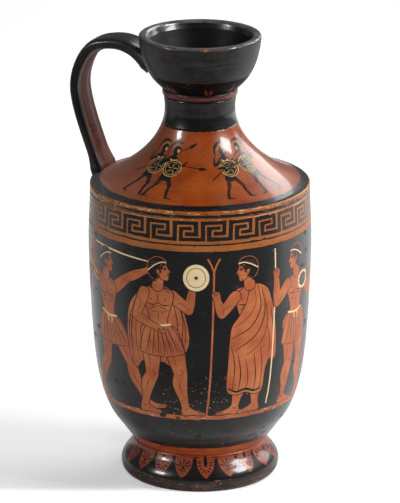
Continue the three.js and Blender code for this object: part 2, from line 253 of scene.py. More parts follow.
FINISHES = (
    # Burnished black slip, fired to a hard gloss: a near-black mirror, brown in its few chips.
    Slip(Paint.GLOSS, "#151617", "#1f1c19", "#6d3c24", (0.22, 0.27), coat=0.55, chips=0.1, lines=0.1),
    # The same slip where hands and brushing rubbed it: greyer, streaked and half dull.
    Slip(
        Paint.WORN_GLOSS, "#1d1f20", "#32302e", "#6d3a24", (0.34, 0.5), 5, 1.1,
        lines=0.5, coat=0.12, blotch=0.14,
    ),
    # Reserved clay of the shoulder, burnished under a thin wash: deep orange that shines like lacquer, greyed
    # beside the handle by dust and a painted sheen.
    Slip(
        Paint.CLAY, "#8c360a", "#ae5413", "#6a2c12", (0.28, 0.34),
        lines=0.13, chips=0.45, coat=0.7, dust_and_sheen=0.9,
    ),
    # Reserved clay of the figures: lighter, redder and only faintly glossy.
    Slip(Paint.FIGURE, "#ba5a2e", "#d47c46", "#84401f", (0.34, 0.44), 12, lines=0.07, coat=0.2),
    # Reserved clay between the key's black lines: ochre brown.
    Slip(Paint.KEY, "#a6561c", "#bc722c", "#7a3a1a", (0.34, 0.46), lines=0.1, coat=0.2),
    # Reserved clay at the foot: orange that goes lighter where fingers held it.
    Slip(Paint.FOOT, "#a64216", "#c46432", "#6a2810", (0.28, 0.38), 9, lines=0.1, coat=0.4),
    # The foot's leaves, rubbed and stained: rust red with dark flecks.
    Slip(Paint.LEAF, "#8a3a1a", "#a84e26", "#3a2018", (0.3, 0.42), 6, chips=0.7, coat=0.35),
    # Slip worn off the foot's edge: dark brown that lets the clay through.
    Slip(Paint.EDGE, "#2b211d", "#573c2d", "#8f6146", (0.3, 0.45), 6, chips=0.8),
    # Thick added white, yellowed and matt, with losses.
    Slip(Paint.CREAM, "#fcd9a2", "#ffe6b8", "#b07c40", (0.5, 0.65), lines=0.06, chips=0.5),
    # Added white that has nearly gone: ochre with much clay in it.
    Slip(Paint.OCHRE, "#c0924a", "#dcb070", "#6a3a18", (0.4, 0.5), 4, chips=0.9),
    # Thinned slip of the inner lines and stains: a see-through brown.
    Slip(Paint.DILUTE, "#5a2a18", "#70381f", "#3c1a0e", (0.4, 0.5), lines=0.1),
    # The ring under the mouth: red clay with dark slip left in its pits.
    Slip(Paint.RING, "#7a2e1a", "#5a2518", "#2a1410", (0.3, 0.45), 5, chips=0.9, coat=0.3),
    # Black slip on the pulled strap: glossy, streaked lengthwise by the brush.
    Slip(
        Paint.STRAP, "#171718", "#262120", "#6d3c24", (0.24, 0.36),
        lines=0.4, coat=0.4, blotch=0.14, strap=True,
    ),
    # Thin wash inside the strap: a matt purple brown.
    Slip(
        Paint.WASH, "#502e2c", "#6e4238", "#8a5240", (0.36, 0.5), 9,
        lines=0.5, chips=0.6, gleam=0.28, strap=True,
    ),
    # Unglazed clay that the jar stands on and hides inside: pale, matt terracotta.
    Slip(Paint.BARE, "#b0653f", "#bd7650", "#8a4a2c", (0.6, 0.75), lines=0.12, chips=0.4),
    # Slip rubbed grey on the lip's edge, still glossy enough to catch a bright line.
    Slip(Paint.RIM, "#434140", "#6d6a68", "#7d5644", (0.22, 0.34), 4, chips=0.6, coat=0.8),
    # Wash at the strap's lower root, worn to the red of the clay.
    Slip(Paint.ROOT, "#7c3219", "#5c2614", "#9c5232", (0.42, 0.55), 7, lines=0.5, gleam=0.2, strap=True),
    # Black slip round the shoulder's edge, greyed towards the handle by a film that is partly dust and partly
    # a painted blue-grey reflection; it loses its shine there.
    Slip(
        Paint.BAND, "#151617", "#1f1c19", "#6d3c24", (0.24, 0.3),
        chips=0.1, coat=0.5, dust_and_sheen=0.75, dust_and_sheen_tint="#4d5459",
    ),
    # Black slip inside and under the cup, never burnished and nearly without mirror; its darker black is
    # painted shade for those hollows.
    Slip(Paint.INNER, "#0c0d0e", "#151413", "#4a3024", (0.42, 0.55), chips=0.5, gleam=0.14),
)


class Palette:
    """The materials of the jar, in the order of their slots on every painted piece."""

    def __init__(self) -> None:
        """Make one material for each finish."""
        self.materials = [finish.material() for finish in FINISHES]
        self.order = [finish.paint for finish in FINISHES]

    def number(self, paint: Paint) -> int:
        """Return the slot number of a paint."""
        return self.order.index(paint)


# Lines and profiles, in millimetres


def unit(rows: np.ndarray) -> np.ndarray:
    """Return rows scaled to a length of 1."""
    return rows / np.maximum(np.linalg.norm(rows, axis=1), 1e-9)[:, None]


def bezier(corners: Line, steps: int) -> np.ndarray:
    """Points of a cubic curve.

    With u from 0 to 1 the point is (1-u)^3 a + 3 (1-u)^2 u b + 3 (1-u) u^2 c + u^3 d.

    Args:
        corners: The start a, the two tangent points b and c, and the end d.
        steps: How many steps the curve takes.

    Returns:
        The points, one row each.
    """
    a, b, c, d = np.asarray(corners, float)
    u = np.linspace(0, 1, steps + 1)[:, None]
    v = 1 - u
    return v**3 * a + 3 * v**2 * u * b + 3 * v * u**2 * c + u**3 * d


def through(stations: Line, steps: int = 8, closed: bool = False) -> np.ndarray:
    """A smooth line through stations: a centripetal Catmull-Rom curve.

    Each span is a cubic whose slopes at its ends come from the neighbouring stations, weighted by the
    square roots of the distances between them.

    Args:
        stations: The points that the line passes through.
        steps: Steps in each span.
        closed: Whether the line comes back to its first station.

    Returns:
        The points, one row each; a closed line doesn't repeat its first point.
    """
    points = np.asarray(stations, float)
    if closed:
        ring = np.vstack([points[-1:], points, points[:2]])
    else:
        ring = np.vstack([2 * points[:1] - points[1:2], points, 2 * points[-1:] - points[-2:-1]])
    root = np.maximum(np.sqrt(np.linalg.norm(np.diff(ring, axis=0), axis=1)), 1e-4)[:, None]
    a, b, c, d = ring[:-3], ring[1:-2], ring[2:-1], ring[3:]
    ab, bc, cd = root[:-2], root[1:-1], root[2:]
    leave = bc * ((b - a) / ab - (c - a) / (ab + bc) + (c - b) / bc)
    arrive = bc * ((c - b) / bc - (d - b) / (bc + cd) + (d - c) / cd)
    u = np.linspace(0, 1, steps, endpoint=False)[None, :, None]
    b, c, leave, arrive = (part[:, None, :] for part in (b, c, leave, arrive))
    near, far = (2 * u**3 - 3 * u**2 + 1) * b, (3 * u**2 - 2 * u**3) * c
    line = (near + (u**3 - 2 * u**2 + u) * leave + far + (u**3 - u**2) * arrive).reshape(-1, points.shape[1])
    return line if closed else np.vstack([line, points[-1:]])


def softened(corners: list[tuple[float, float, float]], steps: int = 4) -> np.ndarray:
    """A line of straight runs whose corners are rounded.

    Each corner with a reach above 0 becomes a quadratic curve that starts and ends at that reach from it.

    Args:
        corners: Rows of radius, height and reach of the rounding.
        steps: Steps in each rounded corner.

    Returns:
        The points, one row each.
    """
    rows = np.asarray(corners, float)
    points, reaches = rows[:, :2], rows[:, 2]
    u = np.linspace(0, 1, steps + 1)[:, None]
    parts = []
    for i, (point, reach) in enumerate(zip(points, reaches)):
        if reach == 0 or i in (0, len(points) - 1):
            parts.append(point[None])
            continue
        back, ahead = points[i - 1] - point, points[i + 1] - point
        start = point + reach * back / np.linalg.norm(back)
        end = point + reach * ahead / np.linalg.norm(ahead)
        parts.append((1 - u) ** 2 * start + 2 * u * (1 - u) * point + u**2 * end)
    return np.vstack(parts)


def run(points: np.ndarray) -> np.ndarray:
    """Return the distance along a line at each of its points."""
    return np.r_[0, np.cumsum(np.linalg.norm(np.diff(points, axis=0), axis=1))]


def inset(points: np.ndarray, wall: float) -> np.ndarray:
    """Move a wall's line of radius and height, which goes up, inwards by the wall's thickness."""
    along = unit(np.gradient(points, axis=0))
    return points + wall * np.c_[-along[:, 1], along[:, 0]]


def outward(points: np.ndarray) -> np.ndarray:
    """Normals of a profile that goes up outside and comes down inside.

    The slope at a point joins its two neighbours, and the normal is that slope turned to the right.

    Args:
        points: Rows of radius and height.

    Returns:
        Unit rows of radius and height.
    """
    along = np.vstack([points[1] - points[0], points[2:] - points[:-2], points[-1] - points[-2]])
    normal = unit(np.c_[along[:, 1], -along[:, 0]])
    on_axis = points[:, 0] < 1e-6
    normal[on_axis] = np.c_[np.zeros(on_axis.sum()), np.sign(normal[on_axis, 1] + 1e-9)]
    return normal


# Outlines that a brush can leave, in millimetres


def ribbon(path: Line, widths: float | list[float], steps: int = 6) -> np.ndarray:
    """Outline of a stroke along a smooth path, with round ends.

    Args:
        path: Stations of the middle of the stroke.
        widths: One width, or one for each station.
        steps: Steps between stations.

    Returns:
        The closed outline, counter-clockwise or clockwise by the path's sense.
    """
    stations = np.asarray(path, float)
    wide = np.broadcast_to(np.asarray(widths, float), (len(stations),))
    line = through(np.c_[stations, wide], steps)
    middle, half = line[:, :2], np.maximum(line[:, 2:], 0.05) / 2
    along = unit(np.gradient(middle, axis=0))
    side = np.c_[-along[:, 1], along[:, 0]]
    turn = np.linspace(0, np.pi, 7)[1:-1, None]
    end = middle[-1] + half[-1] * (np.cos(turn) * side[-1] + np.sin(turn) * along[-1])
    start = middle[0] - half[0] * (np.cos(turn) * side[0] + np.sin(turn) * along[0])
    return np.vstack([middle + half * side, end, (middle - half * side)[::-1], start])


def oval(centre: Point, across: float, up: float, turn: float = 0.0, count: int = 28) -> np.ndarray:
    """Outline of an ellipse.

    Args:
        centre: Its middle.
        across: Its half width.
        up: Its half height.
        turn: How far it is turned, in degrees.
        count: Points round it.

    Returns:
        The closed outline.
    """
    angle = np.linspace(0, 2 * np.pi, count, endpoint=False)
    x, y = across * np.cos(angle), up * np.sin(angle)
    c, s = np.cos(np.radians(turn)), np.sin(np.radians(turn))
    return np.c_[centre[0] + c * x - s * y, centre[1] + s * x + c * y]


def grown(outline: np.ndarray, by: float) -> np.ndarray:
    """Move a closed outline outwards: each point goes square to the line that joins its neighbours.

    Args:
        outline: The closed outline.
        by: How far.

    Returns:
        The moved outline.
    """
    along = unit(np.roll(outline, -1, axis=0) - np.roll(outline, 1, axis=0))
    x, y = outline.T
    area = np.sum(x * np.roll(y, -1) - y * np.roll(x, -1))
    return outline + by * np.sign(area) * np.c_[along[:, 1], -along[:, 0]]


def inside(points: np.ndarray, outline: np.ndarray) -> np.ndarray:
    """Which points lie inside a closed outline, by its winding number.

    An edge that passes a point's height on its right counts one upwards and minus one downwards, and a
    point is inside where the sum isn't nought.

    Args:
        points: The points to ask about.
        outline: The closed outline.

    Returns:
        One truth value for each point.
    """
    a, b = outline, np.roll(outline, -1, axis=0)
    x, y = points[:, :1], points[:, 1:]
    cross = (b[:, 0] - a[:, 0]) * (y - a[:, 1]) - (x - a[:, 0]) * (b[:, 1] - a[:, 1])
    up = (a[:, 1] <= y) & (b[:, 1] > y) & (cross > 0)
    down = (a[:, 1] > y) & (b[:, 1] <= y) & (cross < 0)
    return (up.sum(1) - down.sum(1)) != 0


def placed(shape: Line, at: Point | np.ndarray, turn: float = 0.0, back: bool = False) -> np.ndarray:
    """Mirror and turn a small drawing and move it to its place.

    Args:
        shape: Points of the drawing.
        at: Where its origin goes.
        turn: How far it is turned, in degrees, counter-clockwise.
        back: Whether it is mirrored first, left for right.

    Returns:
        The placed points.
    """
    points = np.asarray(shape, float) * ((-1, 1) if back else (1, 1))
    c, s = np.cos(np.radians(turn)), np.sin(np.radians(turn))
    return points @ np.array([[c, s], [-s, c]]) + at


def between(a: Point | np.ndarray, b: Point | np.ndarray, share: float) -> np.ndarray:
    """Return the point at a share of the way from one point to another."""
    return (1 - share) * np.asarray(a, float) + share * np.asarray(b, float)


def fan(first: Line, steps: Line, count: int) -> list[np.ndarray]:
    """Return copies of a line, each of whose stations moves on by a step of its own."""
    return [np.asarray(first, float) + k * np.asarray(steps, float) for k in range(count)]


def heading(a: Point | np.ndarray, b: Point | np.ndarray) -> float:
    """Return the direction from one point to another, in degrees."""
    x, y = np.asarray(b, float) - a
    return float(np.degrees(np.arctan2(y, x)))


# Turned walls


@dataclass
class Mark:
    """One painted shape on an unrolled wall."""

    outline: np.ndarray
    paint: Paint


@dataclass
class TurnedWall:
    """A turned piece: one closed profile round the jar's axis, with a painted outer wall.

    Attributes:
        name: The piece's name.
        outer: Rows of radius and height of the wall that is painted, upwards.
        hidden: Rows that lead on from its top, over the rim and inside, back to its bottom.
        bands: Paints of the outer wall, each with the height that it reaches up to.
        lining: The paint of the hidden rows.
        tremble: How much the bands' edges waver, in mm.
        coats: Paints of the first hidden rows, each with the number of the row that it reaches up to.
        slices: Facets round the axis.
        marks: What is painted on the bands, lowest layer first.
    """

    name: str
    outer: np.ndarray
    hidden: np.ndarray
    bands: tuple[tuple[float, Paint], ...]
    lining: Paint
    tremble: float = 0.14
    coats: tuple[tuple[int, Paint], ...] = ()
    slices: int = 160
    marks: list[Mark] = field(default_factory=list)

    def __post_init__(self) -> None:
        """Put a row of the wall at every band's edge, and measure along it."""
        extra = [top for top, _ in self.bands if self.outer[0, 1] < top < self.outer[-1, 1]]
        heights = np.unique(np.round(np.r_[self.outer[:, 1], extra], 4))
        heights = heights[np.r_[True, np.diff(heights) > 0.02]]
        self.rows = np.c_[np.interp(heights, self.outer[:, 1], self.outer[:, 0]), heights]
        self.rows[0], self.rows[-1] = self.outer[0], self.outer[-1]
        self.along = run(self.rows)

    def reach(self, height: float) -> float:
        """Return how far along the wall a height lies."""
        return float(np.interp(height, self.rows[:, 1], self.along))

    def waver(self, level: int, columns: np.ndarray) -> np.ndarray:
        """Work out how an unsteady hand moved a band's edge up and down.

        It is a sum of five sines of the angle, with whole numbers of waves round the jar and phases and
        heights drawn from the level's number.

        Args:
            level: The band's number.
            columns: Places across the sheet.

        Returns:
            The shift at each place, in mm.
        """
        hand = np.random.default_rng(len(self.name) + 31 * level)
        turn = columns[:, None] / SHEET_RADIUS
        waves = hand.integers(2, 60, 5)
        phases, heights = hand.uniform(0, 6.3, 5), hand.uniform(0.2, 0.6, 5)
        return self.tremble * (np.sin(waves * turn + phases) * heights).sum(1)

    def brush(self, angle: float, height: float, scale: float = 1.0, flip: bool = False) -> Brush:
        """Return a brush that draws round a point of the wall, its x to the right as seen from outside."""
        return Brush(self, angle, self.reach(height), scale, flip)

    def wear(
        self,
        paint: Paint,
        count: int,
        heights: Point,
        across: Point,
        up: Point,
        seed: int,
        turns: Point = (-180, 180),
    ) -> None:
        """Scatter small losses over the wall, as uneven ovals of seven to ten corners.

        Args:
            paint: What shows in them.
            count: How many there are.
            heights: The range of their heights, in mm.
            across: The range of their half widths, in mm.
            up: The range of their half heights, in mm.
            seed: The number that the scatter is drawn from.
            turns: The range of their angles, in degrees.
        """
        hand = np.random.default_rng(seed)
        for _ in range(count):
            corners = int(hand.integers(7, 11))
            turn = np.linspace(0, 2 * np.pi, corners, endpoint=False) + hand.uniform(0, 0.4, corners)
            reach = hand.uniform(0.55, 1.0, corners)
            half = hand.uniform(*across), hand.uniform(*up)
            outline = np.c_[half[0] * reach * np.cos(turn), half[1] * reach * np.sin(turn)]
            self.brush(hand.uniform(*turns), hand.uniform(*heights)).paint(outline, paint)

    def laid(self) -> list[Mark]:
        """Return the marks in order, with a copy a whole turn away of each that crosses the sheet's ends."""
        width = np.pi * SHEET_RADIUS
        marks = []
        for mark in self.marks:
            marks.append(mark)
            across = mark.outline[:, 0]
            if np.abs(across).max() > width:
                turn = 2 * width * np.sign(across.mean())
                marks.append(Mark(mark.outline - [turn, 0], mark.paint))
        return marks

    def sheet(self, palette: Palette) -> tuple[np.ndarray, np.ndarray, np.ndarray]:
        """Triangulate the unrolled wall together with its marks, and colour the triangles.

        Triangles that lie past the sheet's four edges are left out.

        Args:
            palette: The materials.

        Returns:
            The sheet's points, its triangles and their slot numbers.
        """
        width = np.pi * SHEET_RADIUS
        columns = np.linspace(-width, width, self.slices + 1)
        grid = np.stack(np.meshgrid(columns, self.along), axis=-1)
        number = np.arange(len(self.along) * len(columns)).reshape(len(self.along), -1)
        edges = [number[0], number[-1], number[:, 0], number[:, -1]]
        for level, (top, _) in enumerate(self.bands[:-1]):
            row = np.searchsorted(self.along, self.reach(top) - 1e-6)
            grid[row, :, 1] += self.waver(level, columns)
            edges.append(number[row])
        pairs = [np.c_[line[:-1], line[1:]] for line in edges]
        points = [grid.reshape(-1, 2)]
        count = number.size
        marks = self.laid()
        for mark in marks:
            ring = count + np.arange(len(mark.outline))
            pairs.append(np.c_[ring, np.roll(ring, -1)])
            points.append(mark.outline)
            count += len(ring)
        flat = [Vector(p) for p in np.vstack(points).tolist()]
        found = delaunay_2d_cdt(flat, np.vstack(pairs).tolist(), [], 0, 1e-5, False)
        sheet, triangles = np.array([tuple(p) for p in found[0]]), np.array(found[2])
        middle = sheet[triangles].mean(axis=1)
        kept = (np.abs(middle[:, 0]) < width) & (middle[:, 1] > 0) & (middle[:, 1] < self.along[-1])
        middle = middle[kept]
        used, triangles = np.unique(triangles[kept], return_inverse=True)
        slots = np.full(len(middle), palette.number(self.bands[-1][1]))
        for level in range(len(self.bands) - 2, -1, -1):
            top, paint = self.bands[level]
            edge = np.interp(middle[:, 0], columns, self.waver(level, columns)) + self.reach(top)
            slots[middle[:, 1] < edge] = palette.number(paint)
        order = np.argsort(middle[:, 0])
        across = middle[order, 0]
        for mark in marks:
            low, high = mark.outline.min(0), mark.outline.max(0)
            first, last = np.searchsorted(across, (low[0], high[0]))
            near = order[first:last]
            near = near[(middle[near, 1] > low[1]) & (middle[near, 1] < high[1])]
            slots[near[inside(middle[near], mark.outline)]] = palette.number(mark.paint)
        return sheet[used], triangles.reshape(-1, 3), slots

    def build(self, palette: Palette) -> bpy.types.Object:
        """Roll the painted sheet up, close it with the hidden rows and make the object.

        A point of the sheet turns by its x over the sheet's radius, and its y gives its place along the
        profile, from which its radius, its height and its normal follow.

        Args:
            palette: The materials.

        Returns:
            The finished piece, in metres, with its normals from the profile itself.
        """
        sheet, triangles, slots = self.sheet(palette)
        lean = outward(np.vstack([self.hidden[-2:-1], self.rows, self.hidden[1:2]]))[1:-1]
        wall = [np.interp(sheet[:, 1], self.along, column) for column in np.c_[self.rows, lean].T]
        lean = outward(np.vstack([self.rows[-2:-1], self.hidden, self.rows[1:2]]))[1:-1]
        turn = np.linspace(-np.pi, np.pi, self.slices + 1)
        depth, around = len(self.hidden), len(turn)
        back = np.repeat(np.c_[self.hidden, lean], around, axis=0)
        number = np.arange(depth * around).reshape(depth, around) + len(sheet)
        a, b, c, d = number[:-1, :-1], number[:-1, 1:], number[1:, 1:], number[1:, :-1]
        more = np.concatenate([np.stack([a, b, c], -1), np.stack([a, c, d], -1)]).reshape(-1, 3)
        row = np.tile(np.repeat(np.arange(depth - 1), self.slices), 2)
        lined = np.full(len(row), palette.number(self.lining))
        for last, paint in reversed(self.coats):
            lined[row < last] = palette.number(paint)
        angle = np.r_[sheet[:, 0] / SHEET_RADIUS, np.tile(turn, depth)]
        radius, height, out, up = np.vstack([np.stack(wall, axis=1), back]).T
        co = np.c_[radius * np.cos(angle), radius * np.sin(angle), height]
        normal = np.c_[out * np.cos(angle), out * np.sin(angle), up]
        return piece(self.name, co, np.vstack([triangles, more]), np.r_[slots, lined], normal, palette)


@dataclass
class Brush:
    """A painter's place on a wall: it turns drawings in millimetres into marks on the unrolled sheet."""

    wall: TurnedWall
    angle: float
    start: float
    scale: float
    flip: bool
    pressure: float = 1.3

    def paint(self, outline: np.ndarray, paint: Paint = Paint.GLOSS) -> None:
        """Lay a closed outline on the wall.

        Across, a millimetre of the drawing is an angle of one over the wall's radius there, and up, it is
        a millimetre along the wall.

        Args:
            outline: The outline, with x to the right as seen from outside and y up the wall.
            paint: Its paint.
        """
        x = outline[:, 0] * self.scale * (-1 if self.flip else 1)
        y = self.start + outline[:, 1] * self.scale
        radius = np.interp(y, self.wall.along, self.wall.rows[:, 0])
        turn = np.radians(self.angle) + x / radius
        self.wall.marks.append(Mark(np.c_[turn * SHEET_RADIUS, y], paint))

    def stroke(self, path: Line, widths: float | list[float], paint: Paint = Paint.GLOSS) -> None:
        """Lay one stroke of a width, or of a width at each station."""
        self.paint(ribbon(path, widths), paint)

    def form(self, outlines: list[np.ndarray], paint: Paint = Paint.FIGURE, rim: float = 0.42) -> None:
        """Lay shapes as one, with a dark contour only round the whole.

        Args:
            outlines: The shapes.
            paint: Their paint.
            rim: The contour's width.
        """
        for outline in outlines:
            self.paint(grown(outline, rim))
        for outline in outlines:
            self.paint(outline, paint)

    def line(self, path: Line, width: float = 0.45, paint: Paint = Paint.GLOSS) -> None:
        """Draw a line that thins towards its ends.

        Args:
            path: Stations of the line.
            width: Its width in the middle.
            paint: Its paint.
        """
        share = np.linspace(0, 1, len(path))
        width *= self.pressure
        self.stroke(path, width * (0.55 + 0.45 * np.sin(np.pi * share)) if len(path) > 2 else width, paint)


def piece(
    name: str, co: np.ndarray, triangles: np.ndarray, slots: np.ndarray, normal: np.ndarray, palette: Palette
) -> bpy.types.Object:
    """Weld points that coincide, drop flat triangles and make the object.

    Args:
        name: The piece's name.
        co: Points, in mm.
        triangles: Rows of three point numbers.
        slots: The slot number of each triangle.
        normal: The normal at each point.
        palette: The materials.

    Returns:
        The object, with its mesh in metres.
    """
    _, first, same = np.unique(np.round(co, 4) + 0.0, axis=0, return_index=True, return_inverse=True)
    triangles = same.reshape(-1)[triangles]
    a, b, c = triangles.T
    whole = (a != b) & (b != c) & (c != a)
    triangles, slots = triangles[whole], slots[whole]
    mesh = bpy.data.meshes.new(name)
    mesh.vertices.add(len(first))
    mesh.vertices.foreach_set("co", (co[first] * MM).ravel())
    mesh.loops.add(triangles.size)
    mesh.loops.foreach_set("vertex_index", triangles.ravel())
    mesh.polygons.add(len(triangles))
    mesh.polygons.foreach_set("loop_start", np.arange(0, triangles.size, 3))
    mesh.polygons.foreach_set("material_index", slots)
    mesh.update(calc_edges=True)
    for material in palette.materials:
        mesh.materials.append(material)
    mesh.normals_split_custom_set_from_vertices(normal[first])
    made = bpy.data.objects.new(name, mesh)
    bpy.context.scene.collection.objects.link(made)
    sides = np.sort(np.vstack([triangles[:, [0, 1]], triangles[:, [1, 2]], triangles[:, [2, 0]]]), axis=1)
    _, uses = np.unique(sides, axis=0, return_counts=True)
    log.info("%s: %d triangles, %d open edges", name, len(triangles), int((uses != 2).sum()))
    return made


def settle(made: bpy.types.Object, slot: str, *nodes: str) -> None:
    """Let a piece stand for its CAD nodes.

    Args:
        made: The piece.
        slot: The record's material slot; not used.
        nodes: The CAD nodes that it replaces.
    """
    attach(made, "root")
    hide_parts(*nodes)


# The painter's figures, in mm from the ground below them; they face right


class Stock(Enum):
    """The stock figures of the frieze."""

    DISCUS, JAVELIN, JUMPER, RUNNER, VICTOR, TRAINER, MUSICIAN, MAIDEN = range(8)


@dataclass(frozen=True)
class Pose:
    """Joints of a figure.

    Attributes:
        neck: The pit of the neck.
        shoulders: The near and the far shoulder.
        hips: The near and the far hip.
        legs: Knee, ankle and turn of the foot in degrees, of the near and the far leg.
        arms: Elbow and wrist, of the near and the far arm.
        nod: Turn of the head in degrees.
        looks_back: Whether the head looks the other way.
    """

    neck: Point
    shoulders: tuple[Point, Point]
    hips: tuple[Point, Point]
    legs: tuple[tuple[Point, Point, float], tuple[Point, Point, float]]
    arms: tuple[tuple[Point, Point], tuple[Point, Point]]
    nod: float = 0.0
    looks_back: bool = False


POSES = {
    Stock.DISCUS: Pose(
        (-0.4, 65.2),
        ((-7.6, 62), (6.6, 61.8)),
        ((-5.0, 42), (4.8, 42)),
        (((-4.2, 22), (-9.6, 3.5), 0.0), ((9.6, 23.6), (11.4, 3.5), 0.0)),
        (((-12.2, 49.6), (-2.2, 45.6)), ((14.6, 54.6), (16.6, 66.0))),
        6.0,
    ),
    Stock.JAVELIN: Pose(
        (-2.8, 64.2),
        ((-9.6, 62.4), (4.4, 60.4)),
        ((-5.2, 41.6), (4.4, 41)),
        (((-4.4, 23.4), (-14.4, 6.0), -24.0), ((12.4, 25.6), (20.2, 4.8), 16.0)),
        (((-19.6, 66.2), (-15.4, 76.6)), ((13.4, 67.4), (23.8, 72.6))),
        4.0,
    ),
    Stock.JUMPER: Pose(
        (6.8, 59.6),
        ((0.6, 58.8), (12.6, 55)),
        ((-4.6, 39), (2.6, 37)),
        (((5.6, 24.6), (-4.0, 4.6), -14.0), ((13.6, 27), (8.6, 3.6), 0.0)),
        (((9.4, 48), (21.4, 50.4)), ((20.8, 46.6), (30.2, 53.6))),
        -8.0,
    ),
    Stock.RUNNER: Pose(
        (5.4, 63.2),
        ((-1.4, 61.4), (11.0, 60)),
        ((-2.8, 41.4), (3.6, 40)),
        (((13.4, 33.6), (11.8, 15.6), -8.0), ((-7.2, 23.8), (-19.8, 10.4), -62.0)),
        (((-10.4, 50), (-16.6, 61)), ((18.8, 50.6), (25.6, 61.4))),
    ),
    Stock.VICTOR: Pose(
        (0, 65.2),
        ((-7.2, 61.8), (7.0, 61.8)),
        ((-4.8, 42), (4.8, 42)),
        (((-3.4, 22.4), (-4.8, 3.5), 0.0), ((6.4, 22.8), (9.6, 3.5), 0.0)),
        (((-14.4, 54), (-15.2, 67.4)), ((14.8, 53), (21.4, 62.4))),
        looks_back=True,
    ),
}


@dataclass
class FigurePainter:
    """Draws stock figures with a brush: people of the sports ground, and small armed men."""

    brush: Brush

    def head(self, neck: Point, nod: float, back: bool = False, woman: bool = False) -> None:
        """Draw a head in profile with short hair or a bun, and a cream band round it.

        Args:
            neck: The pit of the neck.
            nod: Turn of the head in degrees.
            back: Whether it looks left.
            woman: Whether the hair is tied up behind.
        """
        top = np.asarray(neck, float) + (-0.9 if back else 0.9, 4.6)

        def set_in(points: Line) -> np.ndarray:
            """Place a part of the head."""
            return placed(points, top, nod, back)

        brush = self.brush
        root = np.asarray(neck, float) + (0, 0.9)
        throat = ribbon([root, between(neck, top, 0.7), top + (0, 1.5)], [5.7, 4.7, 4.8])
        skull = [(-2.6, -0.4), (-4.5, 2.0), (-5.1, 5.0), (-3.9, 8.1), (-0.8, 9.7), (2.3, 9.1), (4.0, 7.2)]
        face = [(4.35, 5.7), (4.8, 4.4), (5.75, 3.1), (5.6, 2.75), (4.85, 2.65), (4.8, 2.3), (5.05, 1.85)]
        chin = [(4.6, 1.45), (4.85, 0.95), (4.4, 0.45), (4.5, -0.3), (3.8, -1.1), (2.2, -0.8), (0.5, 0.2)]
        brush.form([throat, set_in(through(skull + face + chin, 5, True))], rim=0.35)
        brush.line(set_in([(-0.6, 0.6), (0.9, -0.4), (2.4, -1.2), (3.7, -1.3)]), 0.3)
        hair = [(-2.3, -0.5), (-4.9, 1.6), (-5.6, 5.0), (-4.3, 8.6), (-0.9, 10.3), (2.6, 9.7), (4.3, 7.6)]
        temple = [(3.3, 7.5), (2.0, 7.1), (1.2, 5.6), (0.9, 3.9), (0.1, 2.2), (-1.0, 1.0)]
        cap = through(hair + temple, 5, True)
        brush.paint(set_in(grown(cap, 0.28)), Paint.FIGURE)
        brush.paint(set_in(cap))
        curls = [(3.6, 7.3), (2.6, 6.6), (1.9, 5.6), (1.5, 4.6), (0.9, 3.2)]
        for x, y in curls + [(-0.3, 0.9), (-1.3, 0.1), (-2.4, -0.9)]:
            brush.paint(set_in(oval((x, y), 0.8, 0.55, 20 * x, 10)))
        for lock in fan([(-4.6, 5.2), (-3.6, 6.8), (-2.6, 8.6)], [(1.3, 0.7), (1.3, 0.5), (1.4, -0.1)], 4):
            brush.line(set_in(lock), 0.25, Paint.DILUTE)
        if woman:
            bun = oval((-6.0, 3.6), 2.2, 1.9, -20)
            brush.paint(set_in(grown(bun, 0.4)), Paint.FIGURE)
            brush.paint(set_in(bun))
        brush.paint(set_in(ribbon([(4.1, 7.6), (2.2, 7.9), (-1.5, 6.6), (-5.3, 4.1)], 0.55)), Paint.CREAM)
        brush.form([set_in(oval((-0.3, 3.2), 0.75, 1.15, 15, 14))], rim=0.3)
        brush.line(set_in([(2.1, 5.9), (3.1, 6.35), (4.2, 5.9)]), 0.38)
        brush.line(set_in([(2.3, 4.5), (3.1, 5.05), (4.2, 4.55)]), 0.36)
        brush.line(set_in([(2.5, 4.25), (3.2, 3.95), (3.9, 4.25)]), 0.2)
        brush.paint(set_in(oval((3.3, 4.45), 0.42, 0.42, 0, 10)))
        brush.line(set_in([(3.5, 1.35), (4.1, 1.5), (4.8, 1.4)]), 0.3)
        brush.line(set_in([(4.7, 3.2), (4.4, 2.9), (4.6, 2.6)]), 0.22)

    def arm(self, shoulder: Point, elbow: Point, wrist: Point, grip: bool = True) -> None:
        """Draw an arm with its hand.

        Args:
            shoulder: The shoulder joint.
            elbow: The elbow.
            wrist: The wrist.
            grip: Whether the hand holds something, or is open.
        """
        line, way = self.brush.line, heading(elbow, wrist)
        upper = ribbon([shoulder, between(shoulder, elbow, 0.5), elbow], [5.6, 5.3, 4.1])
        lower = ribbon([elbow, between(elbow, wrist, 0.35), wrist], [4.1, 4.4, 2.7])
        if grip:
            palm = [(-0.8, -1.2), (1.4, -1.9), (3.4, -1.5), (3.9, 0.1), (3.2, 1.6), (1.3, 1.8), (-0.8, 1.2)]
        else:
            palm = [(-0.8, -1.1), (1.5, -1.6), (4.0, -1.3), (6.0, -0.6), (5.9, 0.1), (3.9, 0.4)]
            palm += [(4.6, 1.4), (3.3, 1.3), (1.2, 1.5), (-0.8, 1.1)]
        self.brush.form([upper, lower, placed(through(palm, 4, True), wrist, way)], rim=0.38)
        for side in (0.9, 0.0, -0.8) if grip else (-0.2, -0.8):
            line(placed([(1.9, side), (3.5, side * 0.9)], wrist, way), 0.25)
        muscle = [(4.6, -0.4), (7.6, 0.5), (10.4, 0.1)]
        line(placed(muscle, shoulder, heading(shoulder, elbow)), 0.22, Paint.DILUTE)
        line(placed([(-8.5, 0.7), (-5.5, 1.1), (-2.5, 0.5)], wrist, way), 0.22, Paint.DILUTE)

